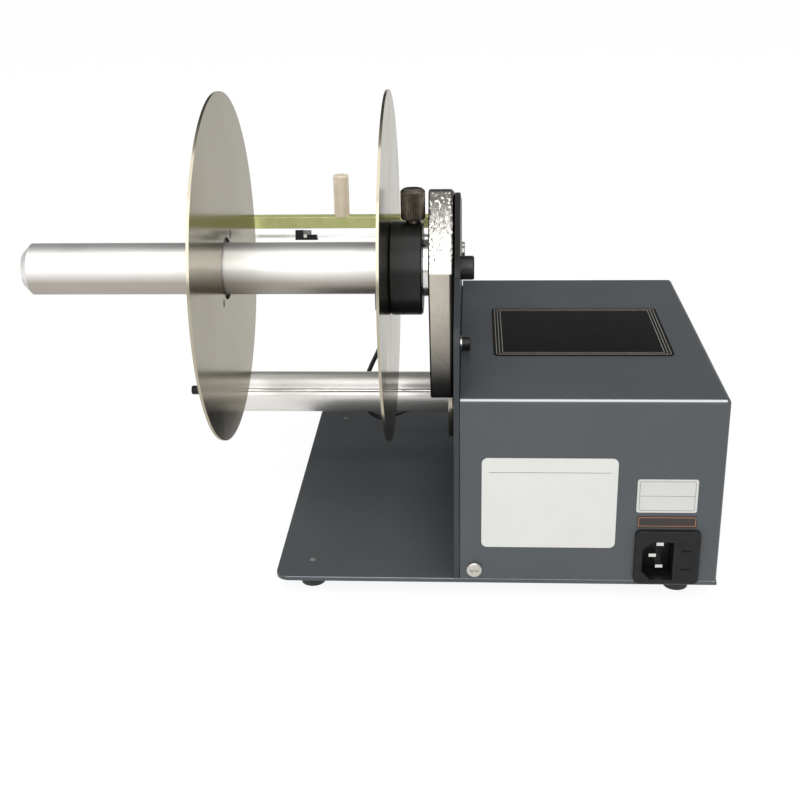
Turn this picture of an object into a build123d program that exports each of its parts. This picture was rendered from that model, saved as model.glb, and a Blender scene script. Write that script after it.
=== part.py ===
from build123d import *
import os
from math import cos, pi, radians, sin, tan

os.makedirs("parts", exist_ok=True)

# Benchtop label dispenser, in millimetres, +Z up.
# +X runs from the open end of the reel to the drive box.
# +Y runs from the back, with the mains inlet, to the peel edge at the front.
# The origin lies on the bench, under the middle of the whole machine.

# Clearances
running_gap = 0.03
thread_gap = 0.05
seat_gap = 0.3
face_gap = 0.05
hole_gap = 0.25

# Base plate and feet
base_width = 250.0
base_depth = 250.0
base_thickness = 2.5
base_left_corner = 8.0
base_right_corner = 3.0
foot_height = 11.0
foot_radius = 8.5
foot_tip_radius = 7.0
foot_inset = 19.5
foot_recess_radius = 4.2
foot_recess_depth = 4.5
foot_screw_radius = 1.75
foot_screw_head_radius = 3.6
foot_screw_tip = 0.2

# Drive box
cover_width = 144.0
cover_depth = 221.0
cover_height = 110.0
cover_thickness = 1.2
cover_bend = 3.0
cover_lip = 10.0
seam_gap = 0.5
plate_thickness = 3.0
flange_width = 16.0
ear_back_rise = 146.0
ear_step_back = 50.0
ear_step_rise = 163.0
ear_top_front = 83.0
ear_nose_back = 196.0
ear_nose_rise = 172.0
ear_drop_rise = 120.0
ear_corner = 12.0
ear_top_drop = 2.5

# Reel
reel_back = 75.0
reel_rise = 161.0
reel_reach = 251.0
spindle_radius = 15.0
spindle_chamfer = 4.5
spindle_bore_radius = 12.0
spindle_bore_depth = 56.0
disc_radius = 100.0
disc_thickness = 1.5
disc_hole_radius = 18.0
hub_radius = 27.0
hub_length = 18.5
hub_bevel = 1.0
outer_hub_length = 15.2
roll_width = 94.0
disc_screw_pitch = 22.8
disc_screw_angle = 45.0
collar_radius = 16.5
collar_length = 3.0
felt_thickness = 1.2
felt_radius = 12.8
journal_radius = 6.0
journal_length = 52.0
bearing_width = 6.0
bearing_groove = 0.6

# Thumbscrews of the hubs
knob_radius = 7.0
knob_length = 17.0
knob_flutes = 30
knob_flute_radius = 0.45
knob_bevel = 1.2
knob_neck_radius = 4.0
knob_neck_length = 2.0
knob_stem_radius = 2.5
knob_place = 5.5
outer_knob_lean = 18.0

# Reel arm and its bolts
arm_thickness = 15.0
arm_rear = 23.0
arm_front = 33.0
arm_bend_rise = 3.0
arm_head_rise = 44.5
arm_head_rear = 1.0
arm_head_front = 7.0
arm_foot_drop = 82.0
arm_foot_rear = 2.0
arm_foot_front = 22.0
arm_corner = 4.0
arm_edge = 1.6
big_bolt_radius = 4.0
big_bolt_head_radius = 6.9
big_bolt_head = 8.0
big_bolt_length = 26.0
small_bolt_radius = 2.5
small_bolt_head_radius = 4.2
small_bolt_head = 5.0
small_bolt_length = 13.0
small_bolt_lift = 0.35
washer_radius = 4.5
washer_thickness = 1.0

# Take-up spindle, its shaft and bearings
take_back = 160.0
take_rise = 50.0
take_radius = 13.5
take_length = 157.0
take_groove_width = 4.6
take_groove_depth = 3.0
take_groove_stop = 4.0
take_groove_angle = 160.0
take_flange_radius = 30.0
take_flange_thickness = 3.0
take_flange_gap = 2.2
shaft_radius = 6.0
shaft_seat = 30.0
clip_radius = 1.2
clip_overhang = 9.0
clip_knob_radius = 3.0
clip_knob_length = 6.0
housing_flange_radius = 28.0
housing_flange = 5.0
housing_radius = 19.0
housing_length = 26.0
housing_bolt_pitch = 23.5
shaft_bearing_radius = 14.0
shaft_bearing_width = 8.0

# Belt drive and gearmotor
pulley_gap = 4.0
pulley_width = 12.0
pulley_rim = 1.5
pulley_rim_rise = 2.5
drive_pulley_radius = 17.0
motor_pulley_radius = 8.5
belt_thickness = 1.5
motor_back = 92.0
motor_shaft_radius = 3.0
gearbox_radius = 18.5
gearbox_length = 22.0
can_radius = 17.0
can_length = 22.0
bracket_thickness = 3.0
bracket_width = 50.0
bracket_foot = 24.0
motor_boss_radius = 6.0
motor_boss = 4.0
motor_screw_pitch = 15.5

# Peel plate and press bar
peel_back = 184.0
peel_front = 235.0
peel_rise = 152.3
peel_slope = 14.8
peel_thickness = 2.0
peel_reach = 169.2
peel_tab_foot = 129.0
peel_tab_back = 187.0
peel_tab_front = 207.0
wing_top = 168.0
wing_front = 198.0
bar_height = 7.7
bar_depth = 8.0
bar_lift = 4.0
bar_pivot_radius = 2.5
bar_pivot_stub = 1.5
handle_radius = 5.1
handle_height = 27.0
handle_reach = 76.0
handle_stud_radius = 2.0
handle_stud = 5.0
guide_width = 5.2
guide_reach = 101.7
guide_lip = 2.2
guide_fence = 42.0
guide_fence_height = 3.0
guide_jaw = 1.6
guide_jaw_reach = 12.0
guide_block_width = 9.0
guide_block_depth = 8.0
guide_ribs = 5
guide_screw_head = 1.0
guide_screw_radius = 1.2
guide_screw_length = 8.0

# Web sensor and its lead
sensor_width = 16.0
sensor_depth = 12.0
sensor_height = 30.0
sensor_reach = 39.7
sensor_back = 186.0
sensor_rise = 99.0
sensor_bracket_thickness = 1.6
sensor_bracket_width = 12.0
sensor_bracket_drop = 11.0
sensor_tab = 14.0
cable_radius = 1.6
grommet_back = 204.0
grommet_rise = 27.0
grommet_radius = 4.0
grommet_collar_radius = 5.5
grommet_collar = 1.5

# Mains inlet with its fuse drawer
inlet_from_right = 29.0
inlet_rise = 15.9
inlet_width = 36.0
inlet_height = 33.2
inlet_flange = 3.0
inlet_corner = 3.0
inlet_body_width = 32.6
inlet_body_height = 27.6
inlet_body_floor = 0.8
inlet_body_depth = 23.0
socket_from_right = 34.2
socket_rise = 14.0
socket_width = 17.2
socket_height = 23.6
socket_corner = 5.0
socket_depth = 16.0
pin_width = 2.0
pin_height = 4.0
pin_length = 9.0
pin_spacing = 7.0
pin_offset = 2.0
drawer_from_right = 18.4
drawer_width = 9.6
drawer_height = 23.0
drawer_depth = 19.0

# Switch and speed knob on the front
switch_from_right = 32.0
switch_rise = 30.0
switch_width = 14.0
switch_height = 20.0
switch_frame_margin = 2.0
switch_frame_face = 1.6
switch_body_depth = 18.0
rocker_face_rise = 1.8
rocker_thickness = 4.0
rocker_pivot_radius = 1.0
rocker_pivot_stub = 1.0
rocker_pocket = 8.0
rocker_gap = 0.35
dial_place = 60.0
dial_rise = 74.0
dial_radius = 10.0
dial_height = 13.0
dial_stem_radius = 3.0
dial_body_radius = 9.0
dial_body_depth = 9.0
dial_lift = 1.0

# Power board and transformer
board_from_right = 45.0
board_from_front = 50.0
board_width = 60.0
board_depth = 54.0
board_thickness = 1.6
board_post = 8.0
board_post_radius = 3.0
board_post_inset = 5.0
capacitor_radius = 6.0
capacitor_height = 20.0
heat_sink_width = 10.0
heat_sink_height = 12.0
relay_width = 16.0
relay_depth = 14.0
relay_height = 14.0
chip_width = 12.0
chip_depth = 8.0
chip_height = 3.5
core_from_right = 28.0
core_back = 55.0
core_width = 30.0
core_depth = 44.0
core_height = 38.0
core_leg = 16.0
coil_width = 44.0
coil_depth = 30.0
coil_height = 26.0

# Small screws
pan_radius = 2.0
pan_head_radius = 4.5
pan_head = 2.4
pan_length = 8.0
cross_width = 1.1
cross_length = 4.4
cross_depth = 1.3
disc_screw_radius = 1.5
disc_screw_head_radius = 2.8
disc_screw_length = 8.0
mount_screw_radius = 2.0
mount_screw_head_radius = 3.6
mount_screw_head = 2.2

# Places that follow from the sizes above
reel_overhang = disc_radius - reel_back
left_reach = seam_gap + plate_thickness + reel_reach
half_width = (left_reach + cover_width) / 2
cover_x = half_width - cover_width
plate_in_x = cover_x - seam_gap
plate_out_x = plate_in_x - plate_thickness
back_y = reel_overhang - (base_depth + reel_overhang) / 2
front_y = back_y + cover_depth
base_x = half_width - base_width / 2
base_y = back_y + base_depth / 2
deck_z = foot_height + base_thickness
cover_mid_x = cover_x + cover_width / 2
cover_mid_y = back_y + cover_depth / 2
reel_y = back_y + reel_back
reel_z = deck_z + reel_rise
take_y = back_y + take_back
take_z = deck_z + take_rise
arm_x = plate_out_x - arm_thickness
collar_x = arm_x - collar_length
felt_x = collar_x - felt_thickness
spindle_right_x = felt_x - face_gap
spindle_tip_x = plate_out_x - reel_reach
hub_right_x = collar_x - seat_gap
hub_left_x = hub_right_x - hub_length
inner_disc_x = hub_left_x - disc_thickness
outer_disc_x = inner_disc_x - roll_width - disc_thickness
outer_hub_x = outer_disc_x - outer_hub_length

# Working planes: local x is the machine's X, or Y on the side planes, and local y is up
back_plane = Plane(origin=(0, back_y, 0), x_dir=(1, 0, 0), z_dir=(0, -1, 0))
front_plane = Plane(origin=(0, front_y, 0), x_dir=(1, 0, 0), z_dir=(0, -1, 0))
reel_plane = Plane(origin=(0, reel_y, reel_z), x_dir=(1, 0, 0), z_dir=(0, -1, 0))
take_plane = Plane(origin=(0, take_y, take_z), x_dir=(1, 0, 0), z_dir=(0, -1, 0))
reel_axis = Axis((0, reel_y, reel_z), (1, 0, 0))
take_axis = Axis((0, take_y, take_z), (1, 0, 0))


def side_point(back, rise):
    return (back_y + back, deck_z + rise)


def pan_screw(shank_radius, length, head_radius, head_height):
    # Head above local z = 0, shank below it
    with BuildPart() as screw:
        Cylinder(head_radius, head_height, align=(Align.CENTER, Align.CENTER, Align.MIN))
        fillet(screw.edges().group_by(Axis.Z)[-1], head_height * 0.45)
        with BuildSketch(Plane.XY.offset(head_height)):
            Rectangle(cross_width, cross_length)
            Rectangle(cross_length, cross_width)
        extrude(amount=-cross_depth, mode=Mode.SUBTRACT)
        Cylinder(shank_radius, length, align=(Align.CENTER, Align.CENTER, Align.MAX))
    return screw.part


def socket_bolt(shank_radius, length, head_radius, head_height):
    with BuildPart() as bolt:
        Cylinder(head_radius, head_height, align=(Align.CENTER, Align.CENTER, Align.MIN))
        chamfer(bolt.edges().group_by(Axis.Z)[-1], head_height * 0.1)
        with BuildSketch(Plane.XY.offset(head_height)):
            RegularPolygon(shank_radius * 0.9, 6)
        extrude(amount=-head_height * 0.6, mode=Mode.SUBTRACT)
        Cylinder(shank_radius, length, align=(Align.CENTER, Align.CENTER, Align.MAX))
    return bolt.part


def countersunk_screw(shank_radius, length, head_radius):
    head_height = head_radius - shank_radius
    with BuildPart() as screw:
        with BuildSketch(Plane.XZ):
            with BuildLine():
                Polyline(
                    (0, 0),
                    (head_radius, 0),
                    (shank_radius, -head_height),
                    (shank_radius, -length),
                    (0, -length),
                    close=True,
                )
            make_face()
        revolve(axis=Axis.Z)
        with BuildSketch():
            Rectangle(cross_width * 0.6, head_radius * 1.2)
            Rectangle(head_radius * 1.2, cross_width * 0.6)
        extrude(amount=-head_height * 0.6, mode=Mode.SUBTRACT)
    return screw.part


def ball_bearing(bore_radius, outer_radius, width):
    # Local axis Z, from z = 0 up; the two shield grooves show between the rings
    groove_in = bore_radius + (outer_radius - bore_radius) * 0.3
    groove_out = bore_radius + (outer_radius - bore_radius) * 0.7
    with BuildPart() as bearing:
        Cylinder(outer_radius, width, align=(Align.CENTER, Align.CENTER, Align.MIN))
        Cylinder(
            bore_radius, width, align=(Align.CENTER, Align.CENTER, Align.MIN), mode=Mode.SUBTRACT
        )
        for level, depth in ((0, bearing_groove), (width, -bearing_groove)):
            with BuildSketch(Plane.XY.offset(level)):
                Circle(groove_out)
                Circle(groove_in, mode=Mode.SUBTRACT)
            extrude(amount=depth, mode=Mode.SUBTRACT)
    return bearing.part


def thumbscrew(stem_length):
    # Local z = 0 is the hub's surface; the knurled head is above, the stem below
    head_base = knob_neck_length
    head_top = head_base + knob_length
    with BuildPart() as screw:
        with BuildSketch(Plane.XY.offset(head_base)):
            Circle(knob_radius)
            with PolarLocations(knob_radius, knob_flutes):
                Circle(knob_flute_radius, mode=Mode.SUBTRACT)
        extrude(amount=knob_length)
        with BuildSketch(Plane.XZ):
            with BuildLine():
                Polyline(
                    (0, head_base),
                    (knob_radius - knob_bevel / 2, head_base),
                    (knob_radius, head_base + knob_bevel / 2),
                    (knob_radius, head_top - knob_bevel),
                    (knob_radius - knob_bevel, head_top),
                    (0, head_top),
                    close=True,
                )
            make_face()
        revolve(axis=Axis.Z, mode=Mode.INTERSECT)
        with BuildSketch(Plane.XY.offset(head_base)):
            Circle(knob_neck_radius)
        extrude(amount=face_gap - head_base)
        with BuildSketch(Plane.XY.offset(face_gap)):
            Circle(knob_stem_radius)
        extrude(amount=-stem_length)
    return screw.part


def at(x, y, z):
    # Local Z stays up
    return Location((x, y, z))


def facing_left(x, y, z):
    # Local +Z turns to the machine's -X
    return Location((x, y, z), (0, -90, 0))


def facing_right(x, y, z):
    return Location((x, y, z), (0, 90, 0))


def facing_back(x, y, z):
    return Location((x, y, z), (90, 0, 0))


def facing_front(x, y, z):
    return Location((x, y, z), (-90, 0, 0))


def facing_down(x, y, z):
    return Location((x, y, z), (180, 0, 0))


def side_plane(x):
    # Local x is the machine's Y and local y is up, seen from the drive box
    return Plane(origin=(x, 0, 0), x_dir=(0, 1, 0), z_dir=(1, 0, 0))


# Base plate
foot_left_x = base_x - base_width / 2 + foot_inset
foot_right_x = base_x + base_width / 2 - foot_inset
foot_back_y = base_y - base_depth / 2 + foot_inset
foot_front_y = base_y + base_depth / 2 - foot_inset
foot_places = [
    (foot_left_x, foot_back_y),
    (foot_right_x, foot_back_y),
    (foot_left_x, foot_front_y),
    (foot_right_x, foot_front_y),
]
plate_screw_x = plate_in_x + flange_width / 2
plate_screw_places = [(plate_screw_x, back_y + step * cover_depth / 5) for step in (1, 2, 4)]
lip_screw_x = cover_x + cover_width - cover_thickness - cover_lip / 2
lip_screw_places = [(lip_screw_x, back_y + step * cover_depth / 4) for step in (1, 3)]
bracket_x = plate_in_x + housing_length + pulley_gap + pulley_width + motor_boss
motor_y = back_y + motor_back
bracket_screw_x = bracket_x + bracket_thickness + bracket_foot * 0.6
bracket_screw_places = [
    (bracket_screw_x, motor_y - bracket_width * 0.3),
    (bracket_screw_x, motor_y + bracket_width * 0.3),
]
board_x = half_width - board_from_right
board_y = front_y - board_from_front
board_post_x = board_width - 2 * board_post_inset
board_post_y = board_depth - 2 * board_post_inset
core_x = half_width - core_from_right
core_y = back_y + core_back
core_screw_y = core_depth / 2 + mount_screw_head_radius + 1

with BuildPart() as base_plate:
    with BuildSketch(Plane.XY.offset(foot_height)):
        with Locations((base_x, base_y)):
            base_outline = Rectangle(base_width, base_depth)
        fillet(base_outline.vertices().group_by(Axis.X)[0], base_left_corner)
        fillet(base_outline.vertices().group_by(Axis.X)[-1], base_right_corner)
    extrude(amount=base_thickness)
    fillet(base_plate.edges().group_by(Axis.Z)[-1], 0.4)
    with BuildSketch(Plane.XY.offset(foot_height)):
        with Locations(*foot_places):
            Circle(foot_screw_radius)
        with Locations(*plate_screw_places, *lip_screw_places, *bracket_screw_places):
            Circle(mount_screw_radius)
        with Locations((board_x, board_y)):
            with GridLocations(board_post_x, board_post_y, 2, 2):
                Circle(mount_screw_radius)
        with Locations((core_x, core_y)):
            with GridLocations(0, 2 * core_screw_y, 1, 2):
                Circle(mount_screw_radius)
    extrude(amount=base_thickness, mode=Mode.SUBTRACT)

# Rubber feet, tapered, with the screw's head sunk in from below
with BuildPart() as rubber_feet:
    with Locations(*[at(x, y, foot_height) for x, y in foot_places]):
        Cone(
            foot_tip_radius,
            foot_radius,
            foot_height,
            align=(Align.CENTER, Align.CENTER, Align.MAX),
        )
    with BuildSketch(Plane.XY):
        with Locations(*foot_places):
            Circle(foot_recess_radius)
    extrude(amount=foot_recess_depth, mode=Mode.SUBTRACT)
    with BuildSketch(Plane.XY):
        with Locations(*foot_places):
            Circle(foot_screw_radius)
    extrude(amount=foot_height, mode=Mode.SUBTRACT)

foot_screw = pan_screw(
    foot_screw_radius,
    deck_z - foot_recess_depth + foot_screw_tip,
    foot_screw_head_radius,
    mount_screw_head,
)
with BuildPart() as foot_screws:
    with Locations(*[facing_down(x, y, foot_recess_depth) for x, y in foot_places]):
        add(foot_screw)

# Side plate: a bent sheet with the tall ear that carries the reel and the peel plate
ear_top_rise = reel_rise + arm_head_rise - ear_top_drop
small_bolt_rise = cover_height + small_bolt_lift + washer_radius
bar_y = back_y + peel_back + bar_depth / 2
bar_z = deck_z + peel_rise + bar_lift + bar_height / 2
tab_mid_back = (peel_tab_back + peel_tab_front) / 2
tab_screw_rise = (peel_tab_foot + peel_rise) / 2 - 2.5
tab_screw_step = 5.5
side_flange_y = cover_thickness + seat_gap
cover_screw_place = 7.9 + seam_gap
cover_screw_low = 6.5
cover_screw_high = 92.0

with BuildPart() as side_plate:
    with BuildSketch(side_plane(plate_out_x)):
        with BuildLine():
            Polyline(
                side_point(0, 0),
                side_point(0, ear_back_rise),
                side_point(ear_step_back, ear_step_rise),
                side_point(reel_back, ear_top_rise),
                side_point(ear_top_front, ear_top_rise),
                side_point(ear_nose_back, ear_nose_rise),
                side_point(cover_depth, ear_drop_rise),
                side_point(cover_depth, 0),
                close=True,
            )
        side_face = make_face()
        fillet(side_face.vertices().sort_by(Axis.X)[:2].sort_by(Axis.Y)[-1], ear_corner)
    extrude(amount=plate_thickness)
    side_walls = [(back_y + side_flange_y), (front_y - side_flange_y - plate_thickness)]
    for wall_y in side_walls:
        with Locations(at(plate_in_x, wall_y, deck_z)):
            Box(
                flange_width,
                plate_thickness,
                cover_height - cover_bend - 1,
                align=(Align.MIN, Align.MIN, Align.MIN),
            )
    with Locations(at(plate_in_x, back_y + side_flange_y, deck_z)):
        Box(
            flange_width,
            cover_depth - 2 * side_flange_y,
            plate_thickness,
            align=(Align.MIN, Align.MIN, Align.MIN),
        )
    with BuildSketch(side_plane(plate_out_x)):
        with Locations(side_point(take_back, take_rise)):
            Circle(shaft_radius + hole_gap)
            with PolarLocations(housing_bolt_pitch, 4, start_angle=45):
                Circle(mount_screw_radius)
        with Locations(side_point(reel_back, reel_rise)):
            Circle(big_bolt_radius)
        with Locations(side_point(reel_back, small_bolt_rise)):
            Circle(small_bolt_radius)
        with Locations(side_point(grommet_back, grommet_rise)):
            Circle(grommet_radius)
        with Locations((bar_y, bar_z)):
            Circle(bar_pivot_radius + running_gap)
        with Locations(side_point(tab_mid_back, tab_screw_rise)):
            with GridLocations(2 * tab_screw_step, 0, 2, 1):
                Circle(mount_screw_radius)
    extrude(amount=plate_thickness, mode=Mode.SUBTRACT)
    with BuildSketch(Plane.XY.offset(deck_z)):
        with Locations(*plate_screw_places):
            Circle(mount_screw_radius)
    extrude(amount=plate_thickness, mode=Mode.SUBTRACT)
    with BuildSketch(back_plane):
        with Locations((plate_in_x + cover_screw_place, deck_z + cover_screw_low)):
            Circle(pan_radius)
    extrude(amount=-cover_depth / 4, mode=Mode.SUBTRACT)
    with BuildSketch(front_plane):
        for rise in (cover_screw_low, cover_screw_high):
            with Locations((plate_in_x + cover_screw_place, deck_z + rise)):
                Circle(pan_radius)
    extrude(amount=cover_depth / 4, mode=Mode.SUBTRACT)

# Screws from below, through the base plate
under_screw = pan_screw(
    mount_screw_radius,
    base_thickness + plate_thickness,
    mount_screw_head_radius,
    mount_screw_head,
)
lip_screw = pan_screw(
    mount_screw_radius,
    base_thickness + cover_thickness,
    mount_screw_head_radius,
    mount_screw_head,
)
foot_board_screw = pan_screw(
    mount_screw_radius,
    base_thickness + bracket_thickness,
    mount_screw_head_radius,
    mount_screw_head,
)
with BuildPart() as base_screws:
    with Locations(*[facing_down(x, y, foot_height) for x, y in plate_screw_places]):
        add(under_screw)
    with Locations(*[facing_down(x, y, foot_height) for x, y in lip_screw_places]):
        add(lip_screw)
    with Locations(*[facing_down(x, y, foot_height) for x, y in bracket_screw_places]):
        add(foot_board_screw)
    with Locations(
        facing_down(core_x, core_y - core_screw_y, foot_height),
        facing_down(core_x, core_y + core_screw_y, foot_height),
    ):
        add(foot_board_screw)

# Cover: folded sheet, open towards the side plate and below
inlet_x = half_width - inlet_from_right
inlet_z = deck_z + inlet_rise
inlet_top = inlet_body_floor + inlet_body_height
switch_x = half_width - switch_from_right
switch_z = deck_z + switch_rise
dial_x = cover_x + dial_place
dial_z = deck_z + dial_rise
cover_screw_x = plate_in_x + cover_screw_place

with BuildPart() as cover:
    with Locations(at(cover_mid_x, cover_mid_y, deck_z)):
        Box(
            cover_width,
            cover_depth,
            cover_height,
            align=(Align.CENTER, Align.CENTER, Align.MIN),
        )
    upright_bends = cover.edges().filter_by(Axis.Z).group_by(Axis.X)[-1]
    top_edges = cover.edges().group_by(Axis.Z)[-1]
    end_bend = top_edges.filter_by(Axis.Y).sort_by(Axis.X)[-1]
    fillet(upright_bends + top_edges.filter_by(Axis.X) + [end_bend], cover_bend)
    open_faces = [cover.faces().sort_by(Axis.X)[0], cover.faces().sort_by(Axis.Z)[0]]
    offset(amount=-cover_thickness, openings=open_faces)
    with Locations(at(cover_x + cover_width - cover_thickness, cover_mid_y, deck_z)):
        Box(
            cover_lip,
            cover_depth - 4 * cover_bend,
            cover_thickness,
            align=(Align.MAX, Align.CENTER, Align.MIN),
        )
    with BuildSketch(Plane.XY.offset(deck_z)):
        with Locations(*lip_screw_places):
            Circle(mount_screw_radius)
    extrude(amount=cover_thickness, mode=Mode.SUBTRACT)
    with BuildSketch(back_plane):
        with Locations((inlet_x, deck_z + inlet_top / 2)):
            Rectangle(inlet_body_width + 2 * running_gap, inlet_top + 2 * running_gap)
        with Locations((cover_screw_x, deck_z + cover_screw_low)):
            Circle(pan_radius)
    extrude(amount=-cover_thickness, mode=Mode.SUBTRACT)
    with BuildSketch(front_plane):
        with Locations((switch_x, switch_z)):
            Rectangle(switch_width + 2 * running_gap, switch_height + 2 * running_gap)
        with Locations((dial_x, dial_z)):
            Circle(dial_stem_radius + running_gap)
        for rise in (cover_screw_low, cover_screw_high):
            with Locations((cover_screw_x, deck_z + rise)):
                Circle(pan_radius)
    extrude(amount=cover_thickness, mode=Mode.SUBTRACT)

cover_screw = pan_screw(pan_radius, pan_length, pan_head_radius, pan_head)
with BuildPart() as cover_screws:
    with Locations(facing_back(cover_screw_x, back_y, deck_z + cover_screw_low)):
        add(cover_screw)
    with Locations(
        facing_front(cover_screw_x, front_y, deck_z + cover_screw_low),
        facing_front(cover_screw_x, front_y, deck_z + cover_screw_high),
    ):
        add(cover_screw)

# Mains inlet with three blades and a fuse drawer
body_z = deck_z + inlet_body_floor + inlet_body_height / 2
socket_x = half_width - socket_from_right
socket_z = deck_z + socket_rise
drawer_x = half_width - drawer_from_right
drawer_z = socket_z
terminal_length = 6.0
drawer_stop = 1.0
blade_front = inlet_flange - socket_depth + pin_length

with BuildPart() as inlet_body:
    with BuildSketch(back_plane):
        with Locations((inlet_x, inlet_z)):
            bezel = Rectangle(inlet_width, inlet_height)
        fillet(bezel.vertices(), inlet_corner)
    extrude(amount=inlet_flange)
    fillet(inlet_body.edges().group_by(Axis.Y)[0], 0.8)
    with BuildSketch(back_plane):
        with Locations((inlet_x, body_z)):
            Rectangle(inlet_body_width, inlet_body_height)
    extrude(amount=-inlet_body_depth)
    with BuildSketch(back_plane.offset(inlet_flange)):
        with Locations((socket_x, socket_z)):
            socket_face = Rectangle(socket_width, socket_height)
        chamfer(socket_face.vertices().group_by(Axis.X)[0], socket_corner)
    extrude(amount=-socket_depth, mode=Mode.SUBTRACT)
    with BuildSketch(back_plane.offset(inlet_flange)):
        with Locations((drawer_x, drawer_z)):
            Rectangle(drawer_width, drawer_height)
    extrude(amount=-drawer_depth, mode=Mode.SUBTRACT)
    with BuildSketch(back_plane):
        with Locations((socket_x - pin_offset, socket_z)):
            Rectangle(pin_height, pin_width)
        with Locations((socket_x + pin_offset, socket_z)):
            with GridLocations(0, 2 * pin_spacing, 1, 2):
                Rectangle(pin_height, pin_width)
    extrude(amount=-inlet_body_depth, mode=Mode.SUBTRACT)

with BuildPart() as inlet_pins:
    with BuildSketch(back_plane.offset(blade_front)):
        with Locations((socket_x - pin_offset, socket_z)):
            Rectangle(pin_height, pin_width)
        with Locations((socket_x + pin_offset, socket_z)):
            with GridLocations(0, 2 * pin_spacing, 1, 2):
                Rectangle(pin_height, pin_width)
    extrude(amount=-(blade_front + inlet_body_depth + terminal_length))

drawer_box_width = drawer_width - 2 * running_gap
drawer_box_height = drawer_height - 2 * running_gap
drawer_wall = 1.4
with BuildPart() as fuse_drawer:
    with BuildSketch(back_plane.offset(inlet_flange)):
        with Locations((drawer_x, drawer_z)):
            Rectangle(drawer_box_width, drawer_box_height)
    extrude(amount=-(drawer_depth - drawer_stop))
    with BuildSketch(back_plane.offset(inlet_flange - 2 * drawer_wall)):
        with Locations((drawer_x + drawer_wall, drawer_z)):
            Rectangle(drawer_box_width, drawer_box_height - 2 * drawer_wall)
    extrude(amount=-(drawer_depth - drawer_stop - 4 * drawer_wall), mode=Mode.SUBTRACT)
    with BuildSketch(back_plane.offset(inlet_flange)):
        with Locations((drawer_x, drawer_z)):
            with GridLocations(0, drawer_height * 0.5, 1, 2):
                Rectangle(drawer_width * 0.55, drawer_wall)
    extrude(amount=0.7)

# Reel arm: a thick plated bar bolted to the ear
with BuildPart() as reel_arm:
    with BuildSketch(side_plane(arm_x)):
        with BuildLine():
            Polyline(
                side_point(reel_back + arm_foot_rear, reel_rise - arm_foot_drop),
                side_point(reel_back - arm_rear, reel_rise + arm_bend_rise),
                side_point(reel_back + arm_head_rear, reel_rise + arm_head_rise),
                side_point(reel_back + arm_head_front, reel_rise + arm_head_rise),
                side_point(reel_back + arm_front, reel_rise + arm_bend_rise),
                side_point(reel_back + arm_foot_front, reel_rise - arm_foot_drop),
                close=True,
            )
        arm_face = make_face()
        fillet(arm_face.vertices(), arm_corner / 2)
    extrude(amount=arm_thickness)
    fillet(reel_arm.edges().group_by(Axis.X)[0], arm_edge)
    fillet(reel_arm.edges().group_by(Axis.X)[-1], arm_edge)
    with BuildSketch(side_plane(arm_x)):
        with Locations(side_point(reel_back, reel_rise)):
            Circle(big_bolt_radius)
    extrude(amount=arm_thickness, mode=Mode.SUBTRACT)
    with BuildSketch(side_plane(plate_out_x)):
        with Locations(side_point(reel_back, small_bolt_rise)):
            Circle(small_bolt_radius)
    extrude(
        amount=plate_thickness + washer_thickness - small_bolt_length, mode=Mode.SUBTRACT
    )

with BuildPart() as arm_washer:
    with Locations(facing_right(plate_in_x, reel_y, deck_z + small_bolt_rise)):
        Cylinder(
            washer_radius, washer_thickness, align=(Align.CENTER, Align.CENTER, Align.MIN)
        )
        Cylinder(small_bolt_radius, 4 * washer_thickness, mode=Mode.SUBTRACT)

with BuildPart() as arm_bolt:
    with Locations(
        facing_right(plate_in_x + washer_thickness, reel_y, deck_z + small_bolt_rise)
    ):
        add(
            socket_bolt(
                small_bolt_radius, small_bolt_length, small_bolt_head_radius, small_bolt_head
            )
        )

with BuildPart() as spindle_bolt:
    with Locations(facing_right(plate_in_x, reel_y, reel_z)):
        add(
            socket_bolt(big_bolt_radius, big_bolt_length, big_bolt_head_radius, big_bolt_head)
        )

# Fixed axle of the reel with its collar, two ball bearings and the felt brake
bolt_tip_x = plate_in_x - big_bolt_length
journal_tip_x = collar_x - journal_length
bearing_in_x = spindle_right_x - 2 * bearing_width
bearing_out_x = journal_tip_x + bearing_width / 3
with BuildPart() as reel_axle:
    with Locations(facing_left(arm_x, reel_y, reel_z)):
        Cylinder(
            collar_radius, collar_length, align=(Align.CENTER, Align.CENTER, Align.MIN)
        )
        Cylinder(
            journal_radius + running_gap,
            collar_length,
            align=(Align.CENTER, Align.CENTER, Align.MIN),
            mode=Mode.SUBTRACT,
        )
        Cylinder(
            journal_radius,
            collar_length + journal_length,
            align=(Align.CENTER, Align.CENTER, Align.MIN),
        )
    chamfer(
        reel_axle.edges().filter_by(GeomType.CIRCLE).sort_by(Axis.X)[0],
        journal_radius * 0.15,
    )
    with Locations(facing_left(arm_x, reel_y, reel_z)):
        Cylinder(
            big_bolt_radius,
            arm_x - bolt_tip_x,
            align=(Align.CENTER, Align.CENTER, Align.MIN),
            mode=Mode.SUBTRACT,
        )

with BuildPart() as brake_washer:
    with Locations(facing_left(collar_x, reel_y, reel_z)):
        Cylinder(
            felt_radius, felt_thickness, align=(Align.CENTER, Align.CENTER, Align.MIN)
        )
        Cylinder(journal_radius + face_gap, 4 * felt_thickness, mode=Mode.SUBTRACT)

reel_bearing = ball_bearing(journal_radius + running_gap, spindle_bore_radius, bearing_width)
with BuildPart() as reel_bearings:
    with Locations(
        facing_right(bearing_in_x, reel_y, reel_z),
        facing_right(bearing_out_x, reel_y, reel_z),
    ):
        add(reel_bearing)

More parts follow.
